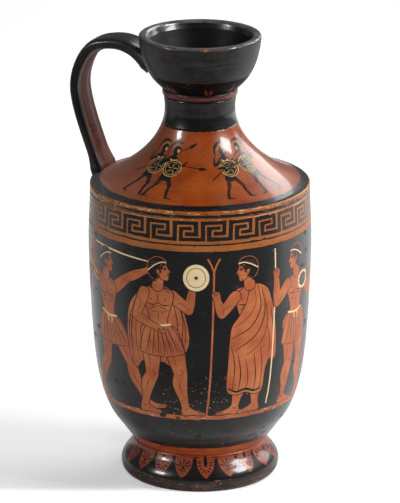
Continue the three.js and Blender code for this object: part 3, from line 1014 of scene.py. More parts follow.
    def leg(self, hip: Point, knee: Point, ankle: Point, tilt: float = 0.0) -> None:
        """Draw a leg with its foot.

        Args:
            hip: The hip joint.
            knee: The knee.
            ankle: The ankle.
            tilt: Turn of the foot, in degrees; a lifted heel is negative.
        """
        line, shin = self.brush.line, lambda share: between(knee, ankle, share)
        down = np.asarray(ankle, float) - knee
        back = np.array([down[1], -down[0]]) / np.linalg.norm(down)
        joint, calf = shin(0.06) - 0.3 * back, shin(0.34) + 0.8 * back
        thigh = ribbon([hip, between(hip, knee, 0.45) - 0.4 * back, joint], [9.6, 9.4, 6.1])
        lower = ribbon([joint, calf, shin(0.7) + 0.2 * back, ankle], [6.1, 6.8, 4.2, 3.2])
        sole = [(-1.7, 0.8), (-2.3, -1.4), (-2.0, -3.1), (0.6, -3.35), (2.6, -2.9), (5.4, -3.35), (8.2, -3.3)]
        instep = [(9.0, -2.6), (8.3, -1.8), (5.6, -1.1), (3.0, 0.2), (1.7, 1.6), (0.2, 2.0)]
        self.brush.form([thigh, lower, placed(through(sole + instep, 4, True), ankle, tilt)])
        for k in range(3):
            toe = [(8.2 - 0.9 * k, -2.5 + 0.15 * k), (7.6 - 0.9 * k, -2.1 + 0.15 * k)]
            line(placed(toe, ankle, tilt), 0.2)
        line(placed([(-0.6, 0.3), (0.3, -0.3), (0.9, 0.4)], ankle, tilt), 0.26)
        cap = shin(0.02) - 1.4 * back
        line([cap + 1.3 * back + (0, 1.4), cap - 0.2 * back, cap + 0.6 * back - (0, 1.6)], 0.28)
        line([shin(0.2) + 0.2 * back, calf + 0.2 * back, shin(0.62) + 0.3 * back], 0.26)
        muscle = [between(hip, knee, 0.5) + 1.2 * back, between(hip, knee, 0.85) + 0.9 * back]
        line(muscle, 0.24, Paint.DILUTE)

    def chest(self, neck: Point, shoulders: tuple[Point, Point], hips: tuple[Point, Point]) -> None:
        """Draw the bare upper body, seen from the front.

        Args:
            neck: The pit of the neck.
            shoulders: The near and the far shoulder.
            hips: The near and the far hip.
        """
        (near, far), (low, low_far) = np.array(shoulders, float), np.array(hips, float)
        neck, line = np.asarray(neck, float), self.brush.line
        middle = between(low, low_far, 0.5)
        up = (between(near, far, 0.5) - middle) / np.linalg.norm(between(near, far, 0.5) - middle)
        right = np.array([up[1], -up[0]])
        flanks = []
        for top, hip, side in ((near, low, -right), (far, low_far, right)):
            flank = [neck + 2.4 * side + 0.2 * up, top + 1.9 * up + 0.2 * side, top + 0.6 * side - 1.4 * up]
            flank += [between(top, hip, 0.3) - 0.2 * side, between(top, hip, 0.66) - 1.3 * side]
            flanks.append(flank + [hip + 0.6 * side])
        self.brush.form([through(flanks[0] + [middle - 3.0 * up] + flanks[1][::-1], 5, True)])
        centre = [between(neck, middle, share) for share in (0.16, 0.34, 0.5, 0.72)]
        line([centre[0], centre[1]], 0.26)
        line([centre[2], between(centre[2], centre[3], 0.5), centre[3]], 0.24, Paint.DILUTE)
        for shoulder, side in ((near, -right), (far, right)):
            arm_pit = between(shoulder, centre[0], 0.18) - 5.0 * up
            line([arm_pit, centre[1] + 2.6 * side - 0.9 * up, centre[1] + 0.3 * side + 0.2 * up], 0.4)
            collar = [neck + 1.0 * side - 0.6 * up, neck + 3.2 * side - 0.2 * up]
            line(collar + [shoulder - 1.0 * side + 0.6 * up], 0.34)
            rib = [centre[1] + 4.8 * side - 3.6 * up, centre[1] + 2.8 * side - 2.2 * up, centre[1] - 1.2 * up]
            line(rib, 0.28)
            belly = [centre[2] + 3.6 * side, centre[2] + 1.9 * side - 0.7 * up, centre[2] + 0.3 * side]
            line(belly, 0.22, Paint.DILUTE)
            self.brush.paint(oval(tuple(centre[0] + 3.6 * side - 2.4 * up), 0.38, 0.38, 0, 8))

    def tunic(self, pose: Pose) -> None:
        """Draw a short skirt of seven pleats, belted with a cream cord.

        Args:
            pose: The pose.
        """
        folds, brush = 7, self.brush
        (near, far), (low, low_far) = np.array(pose.shoulders, float), np.array(pose.hips, float)
        waist = between(near, low, 0.74) + (0.2, 0), between(far, low_far, 0.74) - (0.2, 0)
        hem = between(low, pose.legs[0][0], 0.5), between(low_far, pose.legs[1][0], 0.5)
        left, right = sorted(hem, key=lambda point: point[0])
        left, right = left - (5.6, -0.6), right + (5.0, 0.6)
        share = np.linspace(0, 1, folds + 1)
        hang = np.stack([between(left, right, s) - (0, 1.6 * np.sin(np.pi * s)) for s in share])
        zigzag = []
        for a, b in zip(hang[:-1], hang[1:]):
            zigzag += [a, between(a, b, 0.12) - (0, 0.9), between(a, b, 0.78) - (0, 0.6)]
        belt = np.stack([between(waist[0], waist[1], s) - (0, 0.9 * np.sin(np.pi * s)) for s in share])
        bulge = [between(waist[1], right, 0.3) + (1.2, 0), between(waist[1], right, 0.7) + (0.8, 0)]
        hollow = [between(left, waist[0], 0.3) - (0.8, 0), between(left, waist[0], 0.7) - (1.2, 0)]
        brush.form([np.vstack([zigzag, hang[-1:], bulge[::-1], belt[::-1], hollow[::-1]])])
        for k in range(1, folds):
            pleat = [belt[k] - (0, 1.2), between(belt[k], hang[k], 0.5) + (0.3, 0), hang[k] + (0.1, 0.3)]
            brush.line(pleat, 0.4)
            half = between(hang[k], hang[k + 1], 0.45)
            top = between(belt[k], belt[k + 1], 0.5)
            brush.line([between(top, half, 0.55), half + (0, 0.2)], 0.26, Paint.DILUTE)
        brush.stroke(np.vstack([belt[:1] - (0.5, 0), belt, belt[-1:] + (0.5, 0)]), 0.95, Paint.CREAM)
        knot = belt[folds // 2 + 1]
        brush.stroke([knot, knot + (-1.6, -1.0), knot + (-1.0, -3.2)], 0.6, Paint.CREAM)
        brush.stroke([knot, knot + (1.5, -1.2), knot + (1.2, -3.6)], 0.6, Paint.CREAM)

    def athlete(self, figure: Stock) -> None:
        """Draw an athlete and the gear from the back layer to the front one.

        Args:
            figure: Which one.
        """
        pose, brush = POSES[figure], self.brush
        throws, aims = figure is Stock.DISCUS, figure is Stock.JAVELIN
        if throws:
            self.cape()
        if aims:
            brush.stroke([(-27, 79.6), (0, 79.0), (31, 77.0)], [0.5, 0.95, 0.45], Paint.CREAM)
        if figure is Stock.JUMPER:
            self.flask((-9, 78))
            for weight in ((24.6, 51), (33.4, 54.4)):
                brush.form([oval(weight, 3.6, 1.6, 80)], Paint.CREAM)
        if figure is Stock.VICTOR:
            brush.stroke([(-15.4, 3), (-15.8, 40), (-16.2, 81)], 0.8, Paint.CREAM)
        self.arm(pose.shoulders[1], *pose.arms[1], not aims)
        for side in (1, 0):
            self.leg(pose.hips[side], *pose.legs[side])
        self.chest(pose.neck, pose.shoulders, pose.hips)
        self.tunic(pose)
        self.head(pose.neck, pose.nod, pose.looks_back)
        self.arm(pose.shoulders[0], *pose.arms[0], not throws)
        if throws:
            at = (18.2, 71.0)
            brush.form([oval(at, 6.2, 6.6)], Paint.CREAM)
            brush.paint(oval(at, 4.6, 4.9), Paint.DILUTE)
            brush.paint(oval(at, 4.3, 4.6), Paint.CREAM)
            brush.paint(oval(at, 0.9, 0.9, 0, 12), Paint.DILUTE)

    def flask(self, at: Point) -> None:
        """Draw an oil flask and a sponge that hang on a strap from a point."""
        x, y = at
        self.brush.stroke([(x - 2.4, y - 6), (x - 1, y), (x + 0.6, y - 6.4)], 0.35, Paint.FIGURE)
        self.brush.paint(oval((x - 2.4, y - 8.4), 2.0, 2.2), Paint.FIGURE)
        self.brush.paint(oval((x + 1.8, y - 8.2), 1.7, 1.9), Paint.FIGURE)
        self.brush.line([(x - 4, y - 8.4), (x - 2.4, y - 9), (x - 0.9, y - 8.4)], 0.35)

    def cloth(self, outline: list[Point], folds: list[Line], hem: list[Point] | None = None) -> None:
        """Draw hanging cloth with its folds and a dark border.

        Args:
            outline: Its outline.
            folds: Its fold lines.
            hem: A line along its border, if it has one.
        """
        self.brush.form([through(outline, 4, True)])
        for number, fold in enumerate(folds):
            self.brush.line(fold, 0.42 if number % 3 else 0.3, Paint.GLOSS if number % 4 else Paint.DILUTE)
        if hem:
            self.brush.line(hem, 0.9)

    def cape(self) -> None:
        """Draw a short riding cloak that hangs from both shoulders behind a figure's back."""
        edge = [(-4.6, 65.6), (-9.6, 62.4), (-15.6, 55), (-17.6, 42), (-16.2, 30), (-12.6, 23), (-9, 27.4)]
        edge += [(-4.6, 24), (1, 28), (6.6, 25.6), (11, 31), (14.4, 38), (13.2, 50), (9.8, 60), (4.6, 65.6)]
        folds = [
            [(-6.4, 64), (-11, 54), (-12.6, 40), (-10.6, 26.6)],
            [(-8.6, 62.6), (-13.6, 52), (-15.2, 40), (-14.2, 27)],
            [(-12.6, 57.4), (-16, 47), (-16.4, 36)],
            [(8.8, 60), (11.6, 50), (10.4, 33)],
            [(7.4, 58), (9.2, 46), (7.4, 28)],
            [(-7.4, 46), (-8.4, 36), (-7.4, 27)],
            [(10.6, 56), (12.8, 46), (12.4, 36)],
        ]
        self.cloth(edge, folds)

    def trainer(self) -> None:
        """Draw a trainer in a long cloak who leans on a forked staff."""
        self.brush.stroke([(18.4, 0.4), (17.9, 40), (17.6, 74)], 0.95, Paint.FIGURE)
        for side in (-1, 1):
            prong = [(17.6, 73.5), (17.6 + 1.2 * side, 77), (17.6 + 2.8 * side, 80)]
            self.brush.stroke(prong, 0.8, Paint.FIGURE)
        self.leg((2.4, 36), (4.4, 20), (5.2, 3.5))
        self.leg((-2.6, 36), (-3.2, 20), (-5.4, 3.5))
        self.chest((0, 65.2), ((-7.4, 61.8), (7.2, 62)), ((-5, 42), (5, 42)))
        self.arm((7.2, 61), (13.6, 52.5), (15.9, 60.2))
        cloak = [(-3.4, 66), (-0.4, 63.4), (1.6, 57), (5.2, 50.5), (8.4, 46), (9.4, 38), (9.8, 26)]
        cloak += [(9.4, 12.5), (5.4, 10.6), (0.6, 11.6), (-4.6, 9.8), (-8.2, 10.8), (-9.8, 22), (-12.4, 27)]
        cloak += [(-15.4, 26), (-16, 36), (-14.6, 48), (-12.4, 57), (-9.4, 63.4)]
        folds = [
            [(-2.6, 64.6), (-3.4, 56), (1.4, 49), (7.6, 45.6)],
            [(-4.6, 64.8), (-6.2, 54), (-1.4, 45), (8.4, 40)],
            [(-6.6, 63.6), (-8.8, 52), (-4.6, 41), (6.6, 33.6)],
            [(-8.4, 60), (-10.4, 47), (-7.4, 37), (0.6, 30.4)],
            [(8.6, 36), (6.6, 26), (7.2, 12.6)],
            [(5.2, 31.6), (3.4, 22), (4.2, 11.8)],
            [(1.2, 29.4), (-0.4, 20), (0.2, 12.4)],
            [(-3.2, 31), (-4.6, 20), (-3.8, 11)],
            [(-6.6, 34), (-8, 24), (-7, 12)],
            [(-10.4, 44), (-12, 36), (-11.4, 28.4)],
            [(-12.4, 52), (-14.2, 40), (-13.6, 28.4)],
        ]
        self.cloth(cloak, folds, [(9.0, 14.2), (5.2, 12.2), (0.6, 13.2), (-4.4, 11.6), (-7.8, 12.4)])
        self.head((0, 65.2), -4)

    def musician(self) -> None:
        """Draw a player of the double pipes in a long sleeved robe."""
        self.leg((2, 30), (3, 18), (4.8, 3.5))
        self.leg((-3, 30), (-3.4, 18), (-4.8, 3.5))
        robe = [(-2.8, 66.2), (2.8, 66.2), (7.0, 63.4), (8.0, 56), (6.8, 46.5), (8.6, 36), (10.6, 22)]
        robe += [(11.4, 8.6), (6.4, 7.2), (1.2, 8.4), (-4.2, 7.0), (-9.2, 8.4), (-9.2, 24), (-8.2, 38)]
        robe += [(-6.6, 46.5), (-8.2, 56), (-7.2, 63.2)]
        folds = fan([(-6.2, 44.5), (-7.2, 28), (-7.4, 9.6)], [(2.6, 0), (2.9, 0), (3.2, 0)], 6)
        folds += fan([(-5.4, 62.5), (-4.6, 55), (-5.0, 47.6)], [(2.7, 0), (2.3, 0), (2.4, 0)], 5)
        self.cloth(robe, folds, [(-8.8, 10.4), (-4.2, 9.0), (1.2, 10.4), (6.2, 9.2), (11.0, 10.6)])
        self.brush.stroke([(-6.6, 46.4), (0, 45.2), (6.8, 46.6)], 1.0, Paint.CREAM)
        for k in range(8):
            self.brush.paint(oval((-7.2 + 2.4 * k, 13.2), 0.5, 0.5, 0, 8))
        self.head((0.4, 65.4), 4)
        for drop in (0.0, 3.4):
            self.brush.stroke([(6.2, 71.4), (24.6, 63.6 - drop)], [0.7, 1.1], Paint.CREAM)
        self.arm((5.4, 61), (9.6, 51.5), (15.4, 62.6))
        self.arm((-5.4, 61), (1.4, 50.5), (10.8, 63.2))

    def maiden(self) -> None:
        """Draw a woman in a belted robe with an overfold who holds out a wreath."""
        self.leg((2, 30), (3.4, 18), (5.4, 3.5))
        self.leg((-3, 30), (-3.6, 18), (-5.6, 3.5))
        self.arm((6.2, 60), (13.4, 51), (20.4, 57.4))
        robe = [(-2.6, 65.8), (2.6, 65.8), (6.6, 63.2), (7.0, 55), (6.2, 47), (8.8, 34), (10.4, 20)]
        robe += [(11.6, 7.6), (5.8, 6.4), (0.2, 7.8), (-5.4, 6.2), (-10.8, 7.8), (-9.8, 22), (-8.6, 36)]
        robe += [(-6.2, 47), (-7.2, 55), (-6.8, 63)]
        folds = fan([(-6.6, 38), (-7.8, 24), (-8.4, 8.8)], [(2.7, 0), (3.1, 0), (3.5, 0)], 6)
        self.cloth(robe, folds, [(-10.2, 9.8), (-5.4, 8.2), (0.2, 9.8), (5.8, 8.4), (11.2, 9.6)])
        over = [(-6.2, 50), (0, 48.6), (6.2, 50), (9.2, 41), (6.4, 39.4), (4.2, 41.4), (1.6, 38.8)]
        over += [(-0.8, 41), (-3.4, 38.6), (-6.0, 41), (-9.2, 39.8)]
        self.cloth(over, fan([(-5.4, 49), (-6.2, 45), (-6.8, 40.8)], [(2.2, 0), (2.5, 0), (2.7, 0)], 6))
        for fold in fan([(-4.6, 62.6), (-4.0, 57), (-4.2, 51)], [(2.9, 0), (2.6, 0), (2.7, 0)], 4):
            self.brush.line(fold, 0.36)
        self.brush.stroke([(-6.2, 50.2), (0, 49), (6.2, 50.2)], 0.9, Paint.CREAM)
        self.head((0.4, 65.2), -6, woman=True)
        self.arm((-5.8, 60), (-9.4, 48.4), (-3.4, 40.4), False)
        ring = oval((24.6, 60.6), 4.6, 4.2, 0, 30)
        self.brush.paint(ring, Paint.CREAM)
        self.brush.paint(grown(ring, -0.8))
        for k in range(12):
            self.brush.paint(oval(tuple(ring[(5 * k) // 2]), 1.0, 0.45, 30 * k + 60, 8), Paint.CREAM)

    def warrior(self, stride: float, spear: tuple[Point, Point]) -> None:
        """Draw a small armed man as a dark silhouette with cream details, 36 mm tall.

        Args:
            stride: How far apart the feet are.
            spear: The two ends of the spear.
        """
        brush, hip = self.brush, 15.6
        for side in (-1, 1):
            knee, foot = (side * stride / 2 * 0.6 + 0.9, 8.6), (side * stride / 2, 0.9)
            thigh = np.array([(side * 0.7, hip), between((0, hip), knee, 0.5) + (0.4 * side, 0), knee])
            shin = np.array([knee, between(knee, foot, 0.4) - (0.4, 0), foot])
            for shift, wide in ((-0.9, 0.5), (0.0, 1.0), (0.9, 0.5)):
                brush.stroke(thigh + (shift, 0), wide)
                brush.stroke(shin + (0.6 * shift, 0), 0.8 * wide)
            brush.stroke([foot, (foot[0] + 2.9, 0.5)], [1.0, 0.6])
        trunk = [(-1.9, 14.6), (-1.6, 20), (-2.9, 24.6), (0.3, 26.2), (2.6, 24.8), (1.9, 20), (2.3, 14.6)]
        brush.paint(through(trunk, 4, True))
        brush.paint(np.array([(-2.2, 16.4), (2.4, 16.4), (3.4, 12.4), (0.2, 11.6), (-3.2, 12.6)]))
        brush.stroke([(2.0, 24.2), (5.6, 20.6), (7.4, 23.4)], [1.6, 1.2, 0.8])
        brush.stroke([(-1.8, 24.2), (-5.4, 21.4), (-4.4, 25.6)], [1.6, 1.2, 0.8])
        brush.paint(oval((0.7, 29.2), 1.9, 2.5, -8))
        brush.stroke([(0.2, 27.6), (0.2, 25.4)], [1.8, 2.2])
        brush.stroke([(-3.8, 26.4), (-3.2, 30.4), (-0.6, 33.2), (2.9, 32.8)], [0.4, 1.0, 1.3, 0.6])
        brush.stroke([(-2.0, 29.6), (-0.2, 31.6), (2.2, 31.4)], 0.3, Paint.OCHRE)
        brush.stroke([(-1.4, 24.3), (0.4, 23.5), (2.2, 24.4)], [0.5, 0.9, 0.5], Paint.OCHRE)
        brush.paint(oval((1.5, 28.8), 0.7, 1.0, 10, 12), Paint.OCHRE)
        brush.stroke([(-2.0, 16.2), (2.3, 16.2)], 0.35, Paint.OCHRE)
        shield = (1.5, 19.2)
        for radius, paint in ((4.8, Paint.OCHRE), (4.3, Paint.GLOSS), (3.6, Paint.OCHRE), (3.3, Paint.GLOSS)):
            brush.paint(oval(shield, radius, radius), paint)
        for k in range(5):
            brush.stroke(placed([(0.8, 0), (1.7, 0.6), (2.7, 0.2)], shield, 72 * k), 0.32, Paint.OCHRE)
        brush.stroke(list(spear), 0.5)
        tip = [(-0.4, -0.6), (1.2, -0.9), (4.2, 0), (1.2, 0.9), (-0.4, 0.6)]
        brush.paint(placed(tip, spear[1], heading(*spear)))


ROBED = {
    Stock.TRAINER: FigurePainter.trainer,
    Stock.MUSICIAN: FigurePainter.musician,
    Stock.MAIDEN: FigurePainter.maiden,
}


# The jar's pieces


@dataclass
class Sizes:
    """Sizes that neighbouring pieces share, in mm, as in the CAD model."""

    foot: float = 20.0
    waist: float = 37.0
    body_top: float = 163.5
    shoulder: float = 60.4
    edge_top: float = 167.2
    throat: float = 19.2
    throat_rise: float = 42.8
    neck_joint: float = 201.0
    collar_bottom: float = 216.7
    mouth_bottom: float = 220.5
    lip: float = 250.0
    socket: float = 17.1
    spigot: float = 16.8
    bore: float = 13.0

    def sweep(self, steps: int) -> np.ndarray:
        """Return the one curve from the shoulder's edge up to the narrowest place of the neck."""
        start, top = (self.shoulder - 0.9, self.edge_top), self.edge_top + self.throat_rise
        lean, upright = (start[0] - 24.4, self.edge_top + 8.8), (self.throat, top - 17)
        return bezier([start, lean, upright, (self.throat, top)], steps)

    def joint(self) -> Point:
        """Return the place on that curve where the shoulder ends and the neck begins."""
        line = self.sweep(200)
        return float(np.interp(self.neck_joint, line[:, 1], line[:, 0])), self.neck_joint


@dataclass
class Foot:
    """The turned foot: a rounded disc with a ring of leaf tongues, the first one at an angle in degrees."""

    sizes: Sizes
    rest_radius: float = 40.6
    bulge_radius: float = 43.9
    bulge_height: float = 6.0
    ring_width: float = 9.5
    hollow_depth: float = 5.5
    button_radius: float = 14.0
    seat_radius: float = 24.3
    seat_height: float = 17.7
    tongues: int = 20
    first_tongue: float = -62.5
    tongue_top: float = 18.3
    tongue_height: float = 11.4
    tongue_radius: float = 39.4

    def profile(self) -> tuple[np.ndarray, np.ndarray]:
        """Work out the foot's profile.

        Returns:
            The outer rows and the hidden rows.
        """
        waist, top, rest, depth = self.sizes.waist, self.sizes.foot, self.rest_radius, self.hollow_depth
        bulge, middle = self.bulge_radius, self.bulge_height
        lift, inner, button = (top - middle) * 0.42, rest - self.ring_width, self.button_radius
        low = bezier([(rest, 0), (rest + 1.7, 0.3), (bulge, middle / 2), (bulge, middle)], 8)
        high = bezier([(bulge, middle), (bulge, middle + lift), (waist, top - lift), (waist, top)], 14)
        hidden = [(waist, top, 0), (self.seat_radius, top, 0), (self.seat_radius, self.seat_height, 0)]
        hidden += [(0, self.seat_height, 0), (0, 0, 0), (button, 0, 0.8), (button + 2, depth, 0.8)]
        hidden += [(inner - 2, depth, 0.8), (inner, 0, 0.8), (rest, 0, 0)]
        return np.vstack([low, high[1:]]), softened(hidden)

    def build(self, palette: Palette) -> None:
        """Make the foot with its tongues.

        Args:
            palette: The materials.
        """
        bands = ((0.9, Paint.EDGE), (1.9, Paint.GLOSS), (5.4, Paint.EDGE), (17.9, Paint.GLOSS))
        bands += ((self.sizes.foot, Paint.FOOT),)
        wall = TurnedWall("turned_foot", *self.profile(), bands, Paint.BARE)
        for i in range(self.tongues):
            brush = wall.brush(i * 360 / self.tongues + self.first_tongue, self.tongue_top)
            self.tongue(brush, i % 2 == 0)
        wall.wear(Paint.CLAY, 60, (4.6, 8.0), (0.2, 1.4), (0.1, 0.4), 21)
        wall.wear(Paint.CREAM, 40, (0.6, 7.0), (0.15, 0.6), (0.1, 0.25), 22)
        wall.wear(Paint.GLOSS, 60, (1.5, 5.6), (0.4, 2.6), (0.15, 0.5), 23)
        wall.wear(Paint.GLOSS, 40, (16.6, 20.0), (0.2, 1.0), (0.1, 0.4), 24)
        settle(wall.build(palette), "clay", "foot")

    def tongue(self, brush: Brush, wide: bool) -> None:
        """Draw one leaf tongue that hangs from the orange band, its palmette and the T beside it.

        Args:
            brush: A brush at the middle of the tongue's top.
            wide: Whether the palmette is the full one or the slim one.
        """
        leaf = [(-4.9, 0.9), (-4.8, -3.0), (-3.9, -6.8), (-1.7, -10), (0, -self.tongue_height)]
        leaf += [(-x, y) for x, y in leaf[3::-1]]
        brush.paint(through(leaf, 5), Paint.LEAF)
        if wide:
            brush.paint(through([(0, 1.6), (-1.0, -1.2), (-0.6, -4.6), (0.6, -4.6), (1.0, -1.2)], 5, True))
            for x, y, turn in ((-3.3, -2.4, 8), (-3.1, -4.2, -8), (-2.5, -6.0, -28), (-1.5, -7.5, -52)):
                brush.paint(oval((x, y), 1.15, 0.4, -turn, 12))
                brush.paint(oval((-x, y), 1.15, 0.4, turn, 12))
            brush.paint(oval((0, -8.0), 0.35, 1.1, 0, 12))
        else:
            for turn in (90, 128, 52, 164, 16):
                brush.paint(placed(oval((2.9, 0), 1.9, 0.42, 0, 14), (0, -5.2), turn))
            brush.paint(oval((0, -5.4), 0.8, 1.0, 0, 14))
            for x, turn in ((-1.3, 50), (0, 90), (1.3, 130)):
                brush.paint(oval((x, -7.6 + 0.3 * abs(x)), 1.1, 0.34, turn, 12))
        middle = np.pi * self.tongue_radius / self.tongues
        for low, high, half in ((-0.1, 0.7, 1.5), (-2.4, 0.0, 0.42)):
            left, right = middle - half, middle + half
            brush.paint(np.array([(left, high), (left, low), (right, low), (right, high)]))


@dataclass
class Body:
    """The thrown body: black, with a running key under the shoulder and a frieze of figures.

    The key's line is of uneven width, its corners shake by a normal draw across and up, and its last run,
    which closes the unit, is wider.
    """

    sizes: Sizes
    wall: float = 5.0
    floor: float = 6.0
    boss_radius: float = 24.0
    boss_depth: float = 2.0
    key_units: int = 25
    key_radius: float = 60.6
    key_bottom: float = 151.0
    key_width: Point = (0.85, 1.15)
    key_shake: Point = (0.14, 0.12)
    key_closing: float = 0.5
    ground: float = 49.4
    figure_scale: float = 1.15

    def profile(self) -> tuple[np.ndarray, np.ndarray]:
        """Work out the body's profile.

        Returns:
            The outer rows and the hidden rows.
        """
        rim, foot, top, waist = self.sizes.shoulder, self.sizes.foot, self.sizes.body_top, self.sizes.waist
        stations = [(waist, foot), (44.3, 30.0), (50.4, 39.0), (56.7, 60.0), (61.3, 128.0), (rim, top)]
        outer = through(stations, 12)
        lining = inset(outer, self.wall)
        lining = lining[(lining[:, 1] > foot + self.floor + 1) & (lining[:, 1] < top - 6)][::-1]
        start = [(rim, top), (rim - self.wall, top), (rim - self.wall, top - 4.3)]
        end = [(lining[-1, 0] - 2.5, foot + self.floor), (0, foot + self.floor), (0, foot - self.boss_depth)]
        end += [(self.boss_radius, foot - self.boss_depth), (self.boss_radius, foot), (waist, foot)]
        return outer, np.vstack([start, lining, end])

    def build(self, palette: Palette) -> None:
        """Make the body with its bands, its key and its frieze.

        Args:
            palette: The materials.
        """
        bands = ((25.4, Paint.FOOT), (46.7, Paint.GLOSS), (49.3, Paint.FIGURE), (145.2, Paint.GLOSS))
        bands += ((148.4, Paint.KEY), (149.3, Paint.GLOSS), (self.key_bottom, Paint.KEY))
        bands += ((162.1, Paint.GLOSS), (self.sizes.body_top, Paint.KEY))
        wall = TurnedWall("thrown_body", *self.profile(), bands, Paint.BARE)
        wall.wear(Paint.WORN_GLOSS, 150, (28, 144), (0.6, 4.6), (0.4, 2.4), 10)
        self.key(wall)
        self.frieze(wall)
        wall.wear(Paint.CREAM, 30, (161.9, 163.4), (0.2, 1.4), (0.08, 0.25), 1)
        wall.wear(Paint.GLOSS, 90, (161.9, 163.4), (0.4, 2.2), (0.1, 0.35), 2)
        wall.wear(Paint.GLOSS, 130, (46.4, 49.8), (0.3, 2.4), (0.1, 0.5), 3)
        wall.wear(Paint.CREAM, 50, (46.8, 49.4), (0.3, 1.5), (0.1, 0.3), 4)
        wall.wear(Paint.DILUTE, 120, (145.0, 151.0), (0.2, 1.4), (0.1, 0.35), 5)
        wall.wear(Paint.FIGURE, 70, (52, 76), (0.1, 0.7), (0.1, 0.35), 6, (-88, -52))
        wall.wear(Paint.CREAM, 30, (50, 62), (0.1, 0.5), (0.08, 0.25), 7, (-90, -40))
        wall.wear(Paint.FIGURE, 190, (28, 144), (0.08, 0.4), (0.06, 0.3), 8)
        wall.wear(Paint.BARE, 60, (22, 46), (0.1, 0.6), (0.08, 0.35), 9)
        wall.wear(Paint.CREAM, 44, (22, 46), (0.1, 0.4), (0.08, 0.32), 19)
        settle(wall.build(palette), "gloss", "body")

    def key(self, wall: TurnedWall) -> None:
        """Draw the running key: one reserved line for each unit, from the lower border to the upper one.

        Args:
            wall: The body's wall.
        """
        hand, (across, up) = np.random.default_rng(7), self.key_shake
        left = -np.pi * self.key_radius / self.key_units + 0.9
        plan = [(0, -0.3), (0, 8.6), (8.2, 8.6), (8.2, 5.7), (3.5, 5.7), (3.5, 2.6)]
        plan += [(11.7, 2.6), (11.7, 11.4)]
        count, last = len(plan), len(plan) - 2
        for i in range(self.key_units):
            brush = wall.brush((i + 0.5) * 360 / self.key_units - 180, self.key_bottom)
            shake = np.c_[hand.normal(0, across, count), hand.normal(0, up, count)]
            path = np.array(plan) + shake + (left, 0)
            for j in range(last + 1):
                width = hand.uniform(*self.key_width) + (self.key_closing if j == last else 0)
                brush.paint(ribbon(path[j : j + 2], width, 3), Paint.KEY)

    def frieze(self, wall: TurnedWall) -> None:
        """Draw the ring of figures on the ground line.

        Args:
            wall: The body's wall.
        """
        for angle, figure, flip in (
            (-121.0, Stock.JAVELIN, False),
            (-160.0, Stock.MUSICIAN, False),
            (-88.5, Stock.DISCUS, False),
            (-41.0, Stock.TRAINER, True),
            (-8.0, Stock.VICTOR, False),
            (26.0, Stock.MAIDEN, True),
            (60.0, Stock.JUMPER, False),
            (97.0, Stock.TRAINER, True),
            (133.0, Stock.RUNNER, False),
            (169.0, Stock.MAIDEN, False),
        ):
            painter = FigurePainter(wall.brush(angle, self.ground, self.figure_scale, flip))
            if figure in POSES:
                painter.athlete(figure)
            else:
                ROBED[figure](painter)


@dataclass
class Shoulder:
    """The sloping shoulder, reserved in orange, with a worn edge."""

    sizes: Sizes
    wall: float = 5.0
    rim_inset: float = 5.3
    lip_wall: float = 4.0
    lip_depth: float = 4.0
    socket_depth: float = 6.3
    edge_end: Point = (59.0, 167.38)
    ground: float = 170.6
    figure_scale: float = 1.13

    def profile(self) -> tuple[np.ndarray, np.ndarray]:
        """Work out the shoulder's profile.

        Returns:
            The outer rows and the hidden rows.
        """
        size = self.sizes
        rim, top, bottom = size.shoulder, size.neck_joint, size.body_top
        edge = softened([(rim, bottom, 0), (rim, size.edge_top, 0.9), (*self.edge_end, 0)], 5)
        sweep = size.sweep(60)
        sweep = sweep[(sweep[:, 1] > self.edge_end[1] + 0.07) & (sweep[:, 1] < top - 0.3)]
        lip, floor = rim - self.rim_inset, top - self.socket_depth
        lining = inset(size.sweep(30), self.wall)
        out, up = lining.T
        lining = lining[(out < lip - 5) & (out > size.socket + 1) & (up < floor - 1)]
        start = [size.joint(), (size.socket, top), (size.socket, floor)]
        inner, low = lip - self.lip_wall, bottom - self.lip_depth
        end = [(inner, bottom + 0.3), (inner, low), (lip, low), (lip, bottom), (rim, bottom)]
        return np.vstack([edge[:-1], sweep, size.joint()]), np.vstack([start, lining[::-1], end])

    def build(self, palette: Palette) -> None:
        """Make the shoulder with its bands and the armed men.

        Args:
            palette: The materials.
        """
        bands = ((163.7, Paint.KEY), (165.4, Paint.GLOSS), (167.3, Paint.KEY), (168.95, Paint.BAND))
        bands += ((200.4, Paint.CLAY), (self.sizes.neck_joint, Paint.GLOSS))
        wall = TurnedWall("sloping_shoulder", *self.profile(), bands, Paint.BARE)
        high, low = ((-9.5, 13), (13.5, 31)), ((-7.5, 23.5), (15, 20))
        men = ((-115, 11, high, False), (-97, 12.5, low, False), (-41, 12, high, False))
        men += ((-14, 11.5, low, True), (62, 12, high, False), (92, 12, low, True))
        for angle, stride, spear, flip in men:
            brush = wall.brush(angle, self.ground, self.figure_scale, flip)
            FigurePainter(brush).warrior(stride, spear)
        wall.wear(Paint.CREAM, 36, (165.6, 167.2), (0.2, 2.0), (0.08, 0.3), 11)
        wall.wear(Paint.OCHRE, 60, (165.5, 167.3), (0.4, 3.2), (0.1, 0.4), 16)
        wall.wear(Paint.CREAM, 22, (166.0, 167.2), (0.2, 1.6), (0.08, 0.3), 17, (-112, -66))
        wall.wear(Paint.DILUTE, 120, (165.2, 167.6), (0.3, 2.2), (0.1, 0.4), 12)
        wall.wear(Paint.KEY, 70, (163.8, 165.6), (0.3, 1.8), (0.1, 0.3), 13)
        wall.wear(Paint.CLAY, 50, (167.6, 169.4), (0.2, 1.2), (0.1, 0.35), 14)
        wall.wear(Paint.DILUTE, 90, (172, 200), (0.1, 0.5), (0.1, 0.4), 15)
        wall.wear(Paint.DILUTE, 320, (168.5, 178), (0.08, 0.32), (0.08, 0.26), 18)
        settle(wall.build(palette), "clay", "shoulder")


